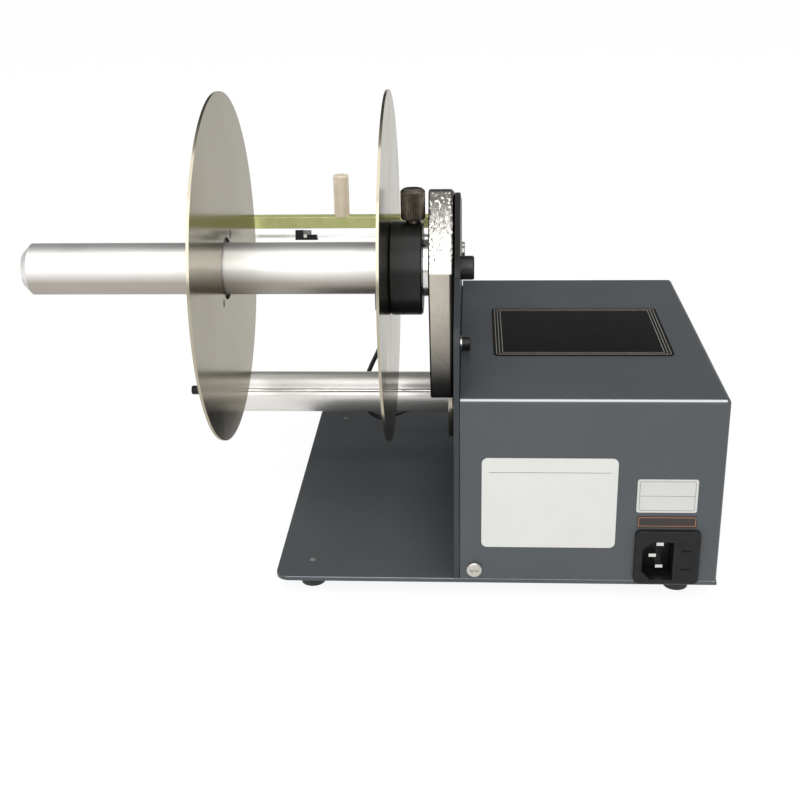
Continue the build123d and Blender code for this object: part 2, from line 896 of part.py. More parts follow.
# Reel spindle: closed at its free end, bored for the bearings
spindle_hollow_radius = 11.0
spindle_end_wall = 8.0
spindle_length = spindle_right_x - spindle_tip_x
with BuildPart() as reel_spindle:
    with Locations(facing_left(spindle_right_x, reel_y, reel_z)):
        Cylinder(
            spindle_radius, spindle_length, align=(Align.CENTER, Align.CENTER, Align.MIN)
        )
    chamfer(
        reel_spindle.edges().filter_by(GeomType.CIRCLE).sort_by(Axis.X)[0], spindle_chamfer
    )
    with Locations(facing_left(spindle_right_x, reel_y, reel_z)):
        Cylinder(
            spindle_bore_radius,
            spindle_bore_depth,
            align=(Align.CENTER, Align.CENTER, Align.MIN),
            mode=Mode.SUBTRACT,
        )
        Cylinder(
            spindle_hollow_radius,
            spindle_length - spindle_end_wall,
            align=(Align.CENTER, Align.CENTER, Align.MIN),
            mode=Mode.SUBTRACT,
        )

# Hubs, discs and thumbscrews that hold the roll
hub_bore_radius = spindle_radius + running_gap
stem_length = hub_radius - hub_bore_radius - face_gap
inner_knob_x = hub_right_x - knob_place
outer_knob_x = outer_disc_x - outer_hub_length / 2

with BuildPart() as inner_hub:
    with BuildSketch(reel_plane):
        with BuildLine():
            Polyline(
                (hub_left_x, hub_bore_radius),
                (hub_left_x, hub_radius - hub_bevel),
                (hub_left_x + hub_bevel, hub_radius),
                (hub_right_x - hub_bevel, hub_radius),
                (hub_right_x, hub_radius - hub_bevel),
                (hub_right_x, hub_bore_radius),
                close=True,
            )
        make_face()
    revolve(axis=reel_axis)
    with Locations(at(inner_knob_x, reel_y, reel_z)):
        Cylinder(
            knob_stem_radius + running_gap,
            hub_radius + 1,
            align=(Align.CENTER, Align.CENTER, Align.MIN),
            mode=Mode.SUBTRACT,
        )
    with BuildSketch(side_plane(hub_left_x)):
        with Locations((reel_y, reel_z)):
            with PolarLocations(disc_screw_pitch, 2, start_angle=disc_screw_angle):
                Circle(disc_screw_radius)
    extrude(amount=disc_screw_length, mode=Mode.SUBTRACT)

inner_face_plane = Plane(
    origin=(inner_disc_x, reel_y, reel_z), x_dir=(0, 1, 0), z_dir=(-1, 0, 0)
)
with BuildPart() as inner_disc:
    with BuildSketch(side_plane(inner_disc_x)):
        with Locations((reel_y, reel_z)):
            Circle(disc_radius)
            Circle(hub_bore_radius, mode=Mode.SUBTRACT)
    extrude(amount=disc_thickness)
    with Locations(Location(inner_face_plane)):
        with PolarLocations(disc_screw_pitch, 2, start_angle=-disc_screw_angle):
            CounterSinkHole(disc_screw_radius, disc_screw_head_radius, counter_sink_angle=90)

disc_screw = countersunk_screw(disc_screw_radius, disc_screw_length, disc_screw_head_radius)
with BuildPart() as inner_disc_screws:
    with Locations(Location(inner_face_plane)):
        with PolarLocations(disc_screw_pitch, 2, start_angle=-disc_screw_angle):
            add(disc_screw)

hub_knob = thumbscrew(stem_length)
with BuildPart() as inner_thumbscrew:
    with Locations(at(inner_knob_x, reel_y, reel_z + hub_radius)):
        add(hub_knob)

outer_knob_turn = Location((outer_knob_x, reel_y, reel_z), (outer_knob_lean, 0, 0))
with BuildPart() as outer_hub:
    with BuildSketch(reel_plane):
        with BuildLine():
            Polyline(
                (outer_hub_x, hub_bore_radius),
                (outer_hub_x, hub_radius - hub_bevel),
                (outer_hub_x + hub_bevel, hub_radius),
                (outer_disc_x, hub_radius),
                (outer_disc_x, hub_bore_radius),
                close=True,
            )
        make_face()
    revolve(axis=reel_axis)
    with Locations(outer_knob_turn):
        Cylinder(
            knob_stem_radius + running_gap,
            hub_radius + 1,
            align=(Align.CENTER, Align.CENTER, Align.MIN),
            mode=Mode.SUBTRACT,
        )
    with BuildSketch(side_plane(outer_hub_x)):
        with Locations((reel_y, reel_z)):
            with PolarLocations(disc_screw_pitch, 2, start_angle=disc_screw_angle):
                Circle(disc_screw_radius)
    extrude(amount=outer_hub_length, mode=Mode.SUBTRACT)

outer_face_plane = Plane(
    origin=(outer_disc_x + disc_thickness, reel_y, reel_z), x_dir=(0, 1, 0), z_dir=(1, 0, 0)
)
with BuildPart() as outer_disc:
    with BuildSketch(side_plane(outer_disc_x)):
        with Locations((reel_y, reel_z)):
            Circle(disc_radius)
            Circle(disc_hole_radius, mode=Mode.SUBTRACT)
    extrude(amount=disc_thickness)
    with Locations(Location(outer_face_plane)):
        with PolarLocations(disc_screw_pitch, 2, start_angle=disc_screw_angle):
            CounterSinkHole(disc_screw_radius, disc_screw_head_radius, counter_sink_angle=90)

with BuildPart() as outer_disc_screws:
    with Locations(Location(outer_face_plane)):
        with PolarLocations(disc_screw_pitch, 2, start_angle=disc_screw_angle):
            add(disc_screw)

with BuildPart() as outer_thumbscrew:
    with Locations(outer_knob_turn * Location((0, 0, hub_radius))):
        add(hub_knob)

# Peel plate: stainless sheet, bent down to the ear and up into a wing at its free end
peel_plane = Plane(
    origin=(plate_out_x, back_y + peel_back, deck_z + peel_rise),
    x_dir=(1, 0, 0),
    z_dir=(0, sin(radians(peel_slope)), cos(radians(peel_slope))),
)
peel_length = (peel_front - peel_back) / cos(radians(peel_slope))


def peel_top(back):
    return peel_rise - (back - peel_back) * tan(radians(peel_slope))


peel_tip_x = plate_out_x - peel_reach
sensor_x = plate_out_x - sensor_reach - sensor_width / 2
leg_back = sensor_back + sensor_depth
leg_front = leg_back + sensor_bracket_thickness
tab_front = leg_front + sensor_tab
tab_hole_v = (leg_front + sensor_tab * 0.6 - peel_back) / cos(radians(peel_slope))
with BuildPart() as peel_plate:
    with BuildSketch(peel_plane):
        Rectangle(peel_reach, peel_length, align=(Align.MAX, Align.MIN))
        with Locations((sensor_x - plate_out_x, tab_hole_v)):
            Circle(disc_screw_radius, mode=Mode.SUBTRACT)
    extrude(amount=-peel_thickness)
    peel_lip = peel_plate.edges().filter_by(Axis.X).group_by(Axis.Y)[-1].sort_by(Axis.Z)[0]
    chamfer(peel_lip, peel_thickness * 0.6)
    with BuildSketch(side_plane(plate_out_x)):
        with BuildLine():
            Polyline(
                side_point(peel_tab_back, peel_tab_foot),
                side_point(peel_tab_back, peel_top(peel_tab_back) - peel_thickness / 2),
                side_point(peel_tab_front, peel_top(peel_tab_front) - peel_thickness / 2),
                side_point(peel_tab_front, peel_tab_foot),
                close=True,
            )
        make_face()
        with Locations(side_point(tab_mid_back, tab_screw_rise)):
            with GridLocations(2 * tab_screw_step, 0, 2, 1):
                Circle(mount_screw_radius, mode=Mode.SUBTRACT)
    extrude(amount=-peel_thickness)
    with BuildSketch(side_plane(peel_tip_x)):
        with BuildLine():
            Polyline(
                side_point(peel_back, peel_rise - peel_thickness / 2),
                side_point(peel_back, wing_top),
                side_point(wing_front, wing_top),
                side_point(wing_front, peel_top(wing_front) - peel_thickness / 2),
                close=True,
            )
        wing_face = make_face()
        fillet(wing_face.vertices().group_by(Axis.Y)[-1], 3)
        with Locations((bar_y, bar_z)):
            Circle(bar_pivot_radius + running_gap, mode=Mode.SUBTRACT)
    extrude(amount=peel_thickness)

peel_screw = pan_screw(
    mount_screw_radius,
    plate_thickness + peel_thickness,
    mount_screw_head_radius,
    mount_screw_head,
)
tab_screw_z = deck_z + tab_screw_rise
with BuildPart() as peel_screws:
    with Locations(
        facing_right(plate_in_x, back_y + tab_mid_back - tab_screw_step, tab_screw_z),
        facing_right(plate_in_x, back_y + tab_mid_back + tab_screw_step, tab_screw_z),
    ):
        add(peel_screw)

# Press bar with its turned handle
bar_left_x = peel_tip_x + peel_thickness + seat_gap
bar_right_x = plate_out_x - seat_gap
bar_mid_x = (bar_left_x + bar_right_x) / 2
bar_length = bar_right_x - bar_left_x
handle_x = plate_out_x - handle_reach
with BuildPart() as press_bar:
    with Locations(at(bar_mid_x, bar_y, bar_z)):
        Box(bar_length, bar_depth, bar_height)
    fillet(press_bar.edges().filter_by(Axis.X), 0.4)
    with Locations(Location((bar_mid_x, bar_y, bar_z), (0, 90, 0))):
        Cylinder(bar_pivot_radius, bar_length + 2 * seat_gap + 2 * peel_thickness)
    with Locations(at(handle_x, bar_y, bar_z + bar_height / 2)):
        Cylinder(
            handle_stud_radius,
            handle_stud,
            align=(Align.CENTER, Align.CENTER, Align.MAX),
            mode=Mode.SUBTRACT,
        )

with BuildPart() as handle_pin:
    with Locations(at(handle_x, bar_y, bar_z + bar_height / 2)):
        Cylinder(
            handle_radius, handle_height, align=(Align.CENTER, Align.CENTER, Align.MIN)
        )
        Cylinder(
            handle_stud_radius, handle_stud, align=(Align.CENTER, Align.CENTER, Align.MAX)
        )
    fillet(handle_pin.edges().group_by(Axis.Z)[-1], 0.8)

# Label guide: a clip that slides along the peel plate's back edge
guide_x = plate_out_x - guide_reach
guide_floor = peel_thickness + running_gap


def guide_plane(x):
    # Local x runs down the peel plate and local y stands on it
    return Plane(
        origin=(x, back_y + peel_back, deck_z + peel_rise),
        x_dir=(0, cos(radians(peel_slope)), -sin(radians(peel_slope))),
        z_dir=(1, 0, 0),
    )


rib_step = guide_block_width / (guide_ribs + 1)
with BuildPart() as label_guide:
    with BuildSketch(guide_plane(guide_x)):
        with BuildLine():
            Polyline(
                (-guide_lip, -guide_floor - guide_jaw),
                (-guide_lip, guide_fence_height),
                (guide_fence, guide_fence_height),
                (guide_fence, running_gap),
                (-running_gap, running_gap),
                (-running_gap, -guide_floor),
                (guide_jaw_reach, -guide_floor),
                (guide_jaw_reach, -guide_floor - guide_jaw),
                close=True,
            )
        make_face()
    extrude(amount=-guide_width)
    with BuildSketch(guide_plane(guide_x)):
        with Locations((-guide_lip, -guide_floor - guide_jaw)):
            Rectangle(guide_block_depth, guide_jaw, align=(Align.MIN, Align.MIN))
            Rectangle(
                guide_lip - running_gap,
                guide_jaw + peel_thickness,
                align=(Align.MIN, Align.MIN),
            )
    extrude(amount=guide_block_width)
    for rib in range(2, guide_ribs + 1):
        with BuildSketch(guide_plane(guide_x + rib_step * rib)):
            with Locations((-guide_lip, 0)):
                Rectangle(guide_lip * 0.4, 4 * guide_floor)
        extrude(amount=rib_step * 0.5, mode=Mode.SUBTRACT)

guide_screw_plane = Plane(
    origin=guide_plane(guide_x + rib_step).from_local_coords((-guide_lip, -guide_floor / 2, 0)),
    x_dir=(1, 0, 0),
    z_dir=(0, -cos(radians(peel_slope)), sin(radians(peel_slope))),
)
with BuildPart() as guide_screw:
    with BuildSketch(guide_screw_plane):
        Circle(guide_screw_radius)
    extrude(amount=guide_screw_head)
    with BuildSketch(guide_screw_plane.offset(guide_screw_head)):
        Rectangle(guide_screw_radius * 1.5, guide_screw_radius * 0.3)
    extrude(amount=-guide_screw_head * 0.5, mode=Mode.SUBTRACT)

# Web sensor, hung below the peel plate
sensor_y = back_y + sensor_back + sensor_depth / 2
sensor_low_z = deck_z + sensor_rise
sensor_mid_z = sensor_low_z + sensor_height / 2
under_drop = peel_thickness / cos(radians(peel_slope))
tab_drop = (peel_thickness + sensor_bracket_thickness) / cos(radians(peel_slope))
leg_foot = sensor_rise - sensor_bracket_drop
sensor_screw_step = sensor_height * 0.3
with BuildPart() as sensor_bracket:
    with BuildSketch(side_plane(sensor_x - sensor_bracket_width / 2)):
        with BuildLine():
            Polyline(
                side_point(leg_back, leg_foot),
                side_point(leg_back, peel_top(leg_back) - under_drop),
                side_point(tab_front, peel_top(tab_front) - under_drop),
                side_point(tab_front, peel_top(tab_front) - tab_drop),
                side_point(leg_front, peel_top(leg_front) - tab_drop),
                side_point(leg_front, leg_foot),
                close=True,
            )
        make_face()
    extrude(amount=sensor_bracket_width)
    with BuildSketch(peel_plane):
        with Locations((sensor_x - plate_out_x, tab_hole_v)):
            Circle(disc_screw_radius)
    extrude(amount=-3 * peel_thickness, mode=Mode.SUBTRACT)
    with BuildSketch(back_plane.offset(-leg_back)):
        with Locations((sensor_x, sensor_mid_z)):
            with GridLocations(0, 2 * sensor_screw_step, 1, 2):
                Circle(disc_screw_radius)
    extrude(amount=-sensor_bracket_thickness, mode=Mode.SUBTRACT)

with BuildPart() as sensor_body:
    with Locations(at(sensor_x, sensor_y, sensor_low_z)):
        Box(
            sensor_width,
            sensor_depth,
            sensor_height,
            align=(Align.CENTER, Align.CENTER, Align.MIN),
        )
    fillet(sensor_body.edges().filter_by(Axis.Z), 0.8)
    with BuildSketch(back_plane.offset(-leg_back)):
        with Locations((sensor_x, sensor_mid_z)):
            with GridLocations(0, 2 * sensor_screw_step, 1, 2):
                Circle(disc_screw_radius)
    extrude(amount=sensor_depth / 2, mode=Mode.SUBTRACT)

small_head = mount_screw_head * 0.8
sensor_screw = pan_screw(
    disc_screw_radius,
    sensor_depth / 2 + sensor_bracket_thickness,
    disc_screw_head_radius,
    small_head,
)
tab_screw = pan_screw(
    disc_screw_radius,
    peel_thickness + sensor_bracket_thickness,
    disc_screw_head_radius,
    small_head,
)
tab_depth = peel_thickness + sensor_bracket_thickness
tab_screw_plane = Plane(
    origin=peel_plane.from_local_coords((sensor_x - plate_out_x, tab_hole_v, -tab_depth)),
    x_dir=(1, 0, 0),
    z_dir=(0, -sin(radians(peel_slope)), -cos(radians(peel_slope))),
)
with BuildPart() as sensor_screws:
    with Locations(
        facing_front(sensor_x, back_y + leg_front, sensor_mid_z - sensor_screw_step),
        facing_front(sensor_x, back_y + leg_front, sensor_mid_z + sensor_screw_step),
    ):
        add(sensor_screw)
    with Locations(Location(tab_screw_plane)):
        add(tab_screw)

# Sensor lead: straight runs joined by tangent arcs, limp, and let into the ear by a grommet
grommet_y = back_y + grommet_back
grommet_z = deck_z + grommet_rise
lead_inside = 1.5


def lead_point(reach, back, rise):
    return (plate_out_x - reach, back_y + back, deck_z + rise)


lead_points = [
    (sensor_x, sensor_y, sensor_low_z),
    (sensor_x, sensor_y, sensor_low_z - sensor_height / 2),
    lead_point(54, 195, 68),
    lead_point(62.5, 197, 50.5),
    lead_point(67, 199, 33),
    lead_point(64.5, 200, 19),
    lead_point(54, 201, 12),
    lead_point(38, 202, 18.5),
    lead_point(22, 203, 24.5),
    (plate_out_x - 9.5, grommet_y, grommet_z),
    (plate_in_x + lead_inside, grommet_y, grommet_z),
]
lead_radii = []
lead_vectors = [Vector(*point) for point in lead_points]
for before, corner, after in zip(lead_vectors, lead_vectors[1:], lead_vectors[2:]):
    run_in = corner - before
    run_out = after - corner
    half_turn = radians(run_in.get_angle(run_out) / 2)
    shorter_run = min(run_in.length, run_out.length)
    lead_radii.append(0.45 * shorter_run / tan(half_turn))
with BuildPart() as sensor_cable:
    with BuildLine() as lead_path:
        FilletPolyline(*lead_points, radius=lead_radii)
    with BuildSketch(Plane(origin=lead_points[0], z_dir=(0, 0, -1))):
        Circle(cable_radius)
    sweep()
lead_length = lead_path.wire().length
lead_volume = pi * cable_radius**2 * lead_length
print("lead bends", [round(radius, 1) for radius in lead_radii])
print("lead length", round(lead_length, 1))
print("lead volume against section and length", round(sensor_cable.part.volume / lead_volume, 4))

with BuildPart() as cable_grommet:
    with Locations(facing_right(plate_out_x - grommet_collar, grommet_y, grommet_z)):
        Cylinder(
            grommet_collar_radius,
            grommet_collar,
            align=(Align.CENTER, Align.CENTER, Align.MIN),
        )
        Cylinder(
            grommet_radius,
            plate_thickness + grommet_collar,
            align=(Align.CENTER, Align.CENTER, Align.MIN),
        )
    fillet(cable_grommet.edges().filter_by(GeomType.CIRCLE).sort_by(Axis.X)[0], 0.6)
    with Locations(facing_right(plate_out_x - grommet_collar, grommet_y, grommet_z)):
        Cylinder(
            cable_radius + thread_gap,
            plate_thickness + 2 * grommet_collar,
            align=(Align.CENTER, Align.CENTER, Align.MIN),
            mode=Mode.SUBTRACT,
        )

# Take-up spindle with its wire clip
take_flange_x = plate_out_x - take_flange_gap - take_flange_thickness
take_tip_x = take_flange_x - take_length
pulley_x = plate_in_x + housing_length + pulley_gap
shaft_left_x = take_flange_x - shaft_seat
shaft_right_x = pulley_x + pulley_width + 1.3
shaft_length = shaft_right_x - shaft_left_x
with BuildPart() as take_up_spindle:
    with Locations(facing_left(take_flange_x, take_y, take_z)):
        Cylinder(
            take_radius, take_length, align=(Align.CENTER, Align.CENTER, Align.MIN)
        )
    chamfer(
        take_up_spindle.edges().filter_by(GeomType.CIRCLE).sort_by(Axis.X)[0],
        1,
    )
    with Locations(facing_left(take_flange_x, take_y, take_z)):
        Cylinder(
            shaft_radius,
            shaft_seat,
            align=(Align.CENTER, Align.CENTER, Align.MIN),
            mode=Mode.SUBTRACT,
        )
    with BuildSketch(side_plane(take_tip_x)):
        with Locations((take_y, take_z)):
            with PolarLocations(
                take_radius - take_groove_depth, 1, start_angle=take_groove_angle
            ):
                Rectangle(
                    2 * take_groove_depth,
                    take_groove_width,
                    align=(Align.MIN, Align.CENTER),
                )
    extrude(amount=take_length - take_groove_stop, mode=Mode.SUBTRACT)

with BuildPart() as take_up_flange:
    with Locations(facing_right(take_flange_x, take_y, take_z)):
        Cylinder(
            take_flange_radius,
            take_flange_thickness,
            align=(Align.CENTER, Align.CENTER, Align.MIN),
        )
    chamfer(take_up_flange.edges().filter_by(GeomType.CIRCLE), 0.5)
    with Locations(facing_right(take_flange_x, take_y, take_z)):
        Cylinder(
            shaft_radius,
            take_flange_thickness,
            align=(Align.CENTER, Align.CENTER, Align.MIN),
            mode=Mode.SUBTRACT,
        )

clip_out = take_radius - take_groove_depth + clip_radius + running_gap
clip_up = take_groove_width / 2 - clip_radius - running_gap
groove_angle = radians(take_groove_angle)
clip_y = take_y + clip_out * cos(groove_angle) + clip_up * sin(groove_angle)
clip_z = take_z + clip_out * sin(groove_angle) - clip_up * cos(groove_angle)
clip_right_x = take_flange_x - take_groove_stop - 1
clip_knob_x = take_tip_x - clip_overhang
with BuildPart() as wire_clip:
    with Locations(facing_left(clip_right_x, clip_y, clip_z)):
        Cylinder(
            clip_radius,
            clip_right_x - clip_knob_x + clip_knob_length / 2,
            align=(Align.CENTER, Align.CENTER, Align.MIN),
        )
    fillet(wire_clip.edges().filter_by(GeomType.CIRCLE).sort_by(Axis.X)[-1], 0.5)

with BuildPart() as clip_knob:
    with Locations(facing_left(clip_knob_x, clip_y, clip_z)):
        Cylinder(
            clip_knob_radius,
            clip_knob_length,
            align=(Align.CENTER, Align.CENTER, Align.MIN),
        )
    fillet(clip_knob.edges().filter_by(GeomType.CIRCLE), 0.9)
    with Locations(facing_left(clip_knob_x, clip_y, clip_z)):
        Cylinder(
            clip_radius,
            clip_knob_length / 2,
            align=(Align.CENTER, Align.CENTER, Align.MIN),
            mode=Mode.SUBTRACT,
        )

# Shaft, bearing housing and belt drive inside the box
housing_end_x = plate_in_x + housing_length
with BuildPart() as take_up_shaft:
    with Locations(facing_right(shaft_left_x, take_y, take_z)):
        Cylinder(
            shaft_radius, shaft_length, align=(Align.CENTER, Align.CENTER, Align.MIN)
        )
    chamfer(take_up_shaft.edges().filter_by(GeomType.CIRCLE), 0.6)

with BuildPart() as bearing_housing:
    with Locations(facing_right(plate_in_x, take_y, take_z)):
        Cylinder(
            housing_flange_radius,
            housing_flange,
            align=(Align.CENTER, Align.CENTER, Align.MIN),
        )
        Cylinder(
            housing_radius, housing_length, align=(Align.CENTER, Align.CENTER, Align.MIN)
        )
    with Locations(facing_right(plate_in_x, take_y, take_z)):
        Cylinder(
            shaft_radius + 1,
            housing_length,
            align=(Align.CENTER, Align.CENTER, Align.MIN),
            mode=Mode.SUBTRACT,
        )
        Cylinder(
            shaft_bearing_radius,
            shaft_bearing_width,
            align=(Align.CENTER, Align.CENTER, Align.MIN),
            mode=Mode.SUBTRACT,
        )
    with Locations(facing_left(housing_end_x, take_y, take_z)):
        Cylinder(
            shaft_bearing_radius,
            shaft_bearing_width,
            align=(Align.CENTER, Align.CENTER, Align.MIN),
            mode=Mode.SUBTRACT,
        )
    with BuildSketch(side_plane(plate_in_x)):
        with Locations((take_y, take_z)):
            with PolarLocations(housing_bolt_pitch, 4, start_angle=45):
                Circle(mount_screw_radius)
    extrude(amount=housing_flange, mode=Mode.SUBTRACT)

housing_screw = pan_screw(
    mount_screw_radius,
    housing_flange + plate_thickness,
    mount_screw_head_radius,
    mount_screw_head,
)
housing_screw_plane = Plane(
    origin=(plate_in_x + housing_flange, take_y, take_z), x_dir=(0, 1, 0), z_dir=(1, 0, 0)
)
motor_screw = pan_screw(
    disc_screw_radius,
    bracket_thickness + gearbox_length / 4,
    disc_screw_head_radius,
    small_head,
)
motor_screw_plane = Plane(
    origin=(bracket_x, motor_y, take_z), x_dir=(0, 1, 0), z_dir=(-1, 0, 0)
)
with BuildPart() as drive_screws:
    with Locations(Location(housing_screw_plane)):
        with PolarLocations(housing_bolt_pitch, 4, start_angle=45):
            add(housing_screw)
    with Locations(Location(motor_screw_plane)):
        with PolarLocations(motor_screw_pitch, 3, start_angle=-90):
            add(motor_screw)

shaft_bearing = ball_bearing(
    shaft_radius + running_gap, shaft_bearing_radius, shaft_bearing_width
)
with BuildPart() as take_up_bearings:
    with Locations(
        facing_right(plate_in_x, take_y, take_z),
        facing_right(housing_end_x - shaft_bearing_width, take_y, take_z),
    ):
        add(shaft_bearing)


def belt_pulley(core_radius, bore_radius):
    rim_radius = core_radius + pulley_rim_rise
    with BuildPart() as pulley:
        with BuildSketch(Plane.XZ):
            with BuildLine():
                Polyline(
                    (bore_radius, 0),
                    (rim_radius, 0),
                    (rim_radius, pulley_rim),
                    (core_radius, pulley_rim),
                    (core_radius, pulley_width - pulley_rim),
                    (rim_radius, pulley_width - pulley_rim),
                    (rim_radius, pulley_width),
                    (bore_radius, pulley_width),
                    close=True,
                )
            make_face()
        revolve(axis=Axis.Z)
    return pulley.part


with BuildPart() as shaft_pulley:
    with Locations(facing_right(pulley_x, take_y, take_z)):
        add(belt_pulley(drive_pulley_radius, shaft_radius))

with BuildPart() as motor_pulley:
    with Locations(facing_right(pulley_x, motor_y, take_z)):
        add(belt_pulley(motor_pulley_radius, motor_shaft_radius))

belt_width = pulley_width - 2 * pulley_rim - 1
belt_x = pulley_x + (pulley_width - belt_width) / 2
belt_drive_radius = drive_pulley_radius + running_gap
belt_motor_radius = motor_pulley_radius + running_gap
with BuildPart() as drive_belt:
    with BuildSketch(side_plane(belt_x)):
        with Locations((take_y, take_z)):
            Circle(belt_drive_radius + belt_thickness)
        with Locations((motor_y, take_z)):
            Circle(belt_motor_radius + belt_thickness)
        make_hull()
    extrude(amount=belt_width)
    with BuildSketch(side_plane(belt_x)):
        with Locations((take_y, take_z)):
            Circle(belt_drive_radius)
        with Locations((motor_y, take_z)):
            Circle(belt_motor_radius)
        make_hull()
    extrude(amount=belt_width, mode=Mode.SUBTRACT)

gearbox_x = bracket_x + bracket_thickness
can_x = gearbox_x + gearbox_length
with BuildPart() as motor_shaft:
    with Locations(facing_right(pulley_x, motor_y, take_z)):
        Cylinder(
            motor_shaft_radius,
            gearbox_x - pulley_x + gearbox_length / 2,
            align=(Align.CENTER, Align.CENTER, Align.MIN),
        )

with BuildPart() as gear_motor:
    with Locations(facing_right(gearbox_x, motor_y, take_z)):
        Cylinder(
            gearbox_radius, gearbox_length, align=(Align.CENTER, Align.CENTER, Align.MIN)
        )
    with Locations(facing_right(can_x, motor_y, take_z)):
        Cylinder(can_radius, can_length, align=(Align.CENTER, Align.CENTER, Align.MIN))
    fillet(gear_motor.edges().filter_by(GeomType.CIRCLE).sort_by(Axis.X)[-1], 2)
    with Locations(facing_right(gearbox_x, motor_y, take_z)):
        Cylinder(
            motor_shaft_radius + running_gap,
            gearbox_length / 2 + 1,
            align=(Align.CENTER, Align.CENTER, Align.MIN),
            mode=Mode.SUBTRACT,
        )
    with BuildSketch(side_plane(gearbox_x)):
        with Locations((motor_y, take_z)):
            with PolarLocations(motor_screw_pitch, 3, start_angle=90):
                Circle(disc_screw_radius)
    extrude(amount=gearbox_length / 4, mode=Mode.SUBTRACT)

bracket_top_z = take_z + bracket_width / 2
with BuildPart() as motor_bracket:
    with Locations(at(bracket_x, motor_y, deck_z)):
        Box(
            bracket_thickness,
            bracket_width,
            bracket_top_z - deck_z,
            align=(Align.MIN, Align.CENTER, Align.MIN),
        )
        Box(
            bracket_foot,
            bracket_width,
            bracket_thickness,
            align=(Align.MIN, Align.CENTER, Align.MIN),
        )
    fillet(motor_bracket.edges().filter_by(Axis.X).group_by(Axis.Z)[-1], 8)
    with BuildSketch(side_plane(bracket_x)):
        with Locations((motor_y, take_z)):
            Circle(motor_boss_radius)
            with PolarLocations(motor_screw_pitch, 3, start_angle=90):
                Circle(disc_screw_radius)
    extrude(amount=bracket_thickness, mode=Mode.SUBTRACT)
    with BuildSketch(Plane.XY.offset(deck_z)):
        with Locations(*bracket_screw_places):
            Circle(mount_screw_radius)
    extrude(amount=bracket_thickness, mode=Mode.SUBTRACT)

# Transformer and speed board
core_window = (coil_depth - core_leg) / 2
core_foot = 2 * (core_screw_y + mount_screw_head_radius)
core_mid_z = deck_z + core_height / 2
with BuildPart() as transformer_core:
    with Locations(at(core_x, core_y, deck_z)):
        Box(
            core_width,
            core_depth,
            core_height,
            align=(Align.CENTER, Align.CENTER, Align.MIN),
        )
        Box(
            core_width / 2,
            core_foot,
            bracket_thickness,
            align=(Align.CENTER, Align.CENTER, Align.MIN),
        )
    with Locations(at(core_x, core_y, core_mid_z)):
        with GridLocations(0, core_leg + core_window, 1, 2):
            Box(core_width, core_window, coil_height, mode=Mode.SUBTRACT)
    with BuildSketch(Plane.XY.offset(deck_z)):
        with Locations((core_x, core_y)):
            with GridLocations(0, 2 * core_screw_y, 1, 2):
                Circle(mount_screw_radius)
    extrude(amount=bracket_thickness, mode=Mode.SUBTRACT)

with BuildPart() as transformer_coil:
    with Locations(at(core_x, core_y, core_mid_z)):
        Box(coil_width, coil_depth, coil_height)
    fillet(transformer_coil.edges().filter_by(Axis.Z), 2.5)
    with Locations(at(core_x, core_y, core_mid_z)):
        Box(core_width, core_leg, coil_height, mode=Mode.SUBTRACT)

board_z = deck_z + board_post
board_peg_tip = 2.0
with BuildPart() as board_posts:
    with Locations(at(board_x, board_y, deck_z)):
        with GridLocations(board_post_x, board_post_y, 2, 2):
            Cylinder(
                board_post_radius, board_post, align=(Align.CENTER, Align.CENTER, Align.MIN)
            )
            Cylinder(
                mount_screw_radius,
                board_post + board_thickness + board_peg_tip,
                align=(Align.CENTER, Align.CENTER, Align.MIN),
            )
            Cylinder(
                mount_screw_radius,
                base_thickness,
                align=(Align.CENTER, Align.CENTER, Align.MAX),
            )

with BuildPart() as circuit_board:
    with Locations(at(board_x, board_y, board_z)):
        Box(
            board_width,
            board_depth,
            board_thickness,
            align=(Align.CENTER, Align.CENTER, Align.MIN),
        )
        with GridLocations(board_post_x, board_post_y, 2, 2):
            Cylinder(mount_screw_radius, 4 * board_thickness, mode=Mode.SUBTRACT)

part_z = board_z + board_thickness
capacitor_x = board_x - board_width * 0.28
chip_x = board_x + board_width * 0.03
with BuildPart() as board_parts:
    with Locations(
        at(capacitor_x, board_y + board_depth * 0.2, part_z),
        at(capacitor_x, board_y - board_depth * 0.15, part_z),
    ):
        Cylinder(
            capacitor_radius, capacitor_height, align=(Align.CENTER, Align.CENTER, Align.MIN)
        )
    with Locations(at(board_x + board_width * 0.3, board_y, part_z)):
        Box(
            heat_sink_width,
            board_depth / 2,
            heat_sink_height,
            align=(Align.CENTER, Align.CENTER, Align.MIN),
        )
    with Locations(at(chip_x, board_y + board_depth * 0.22, part_z)):
        Box(
            relay_width,
            relay_depth,
            relay_height,
            align=(Align.CENTER, Align.CENTER, Align.MIN),
        )
    with Locations(at(chip_x, board_y - board_depth * 0.2, part_z)):
        Box(
            chip_width,
            chip_depth,
            chip_height,
            align=(Align.CENTER, Align.CENTER, Align.MIN),
        )

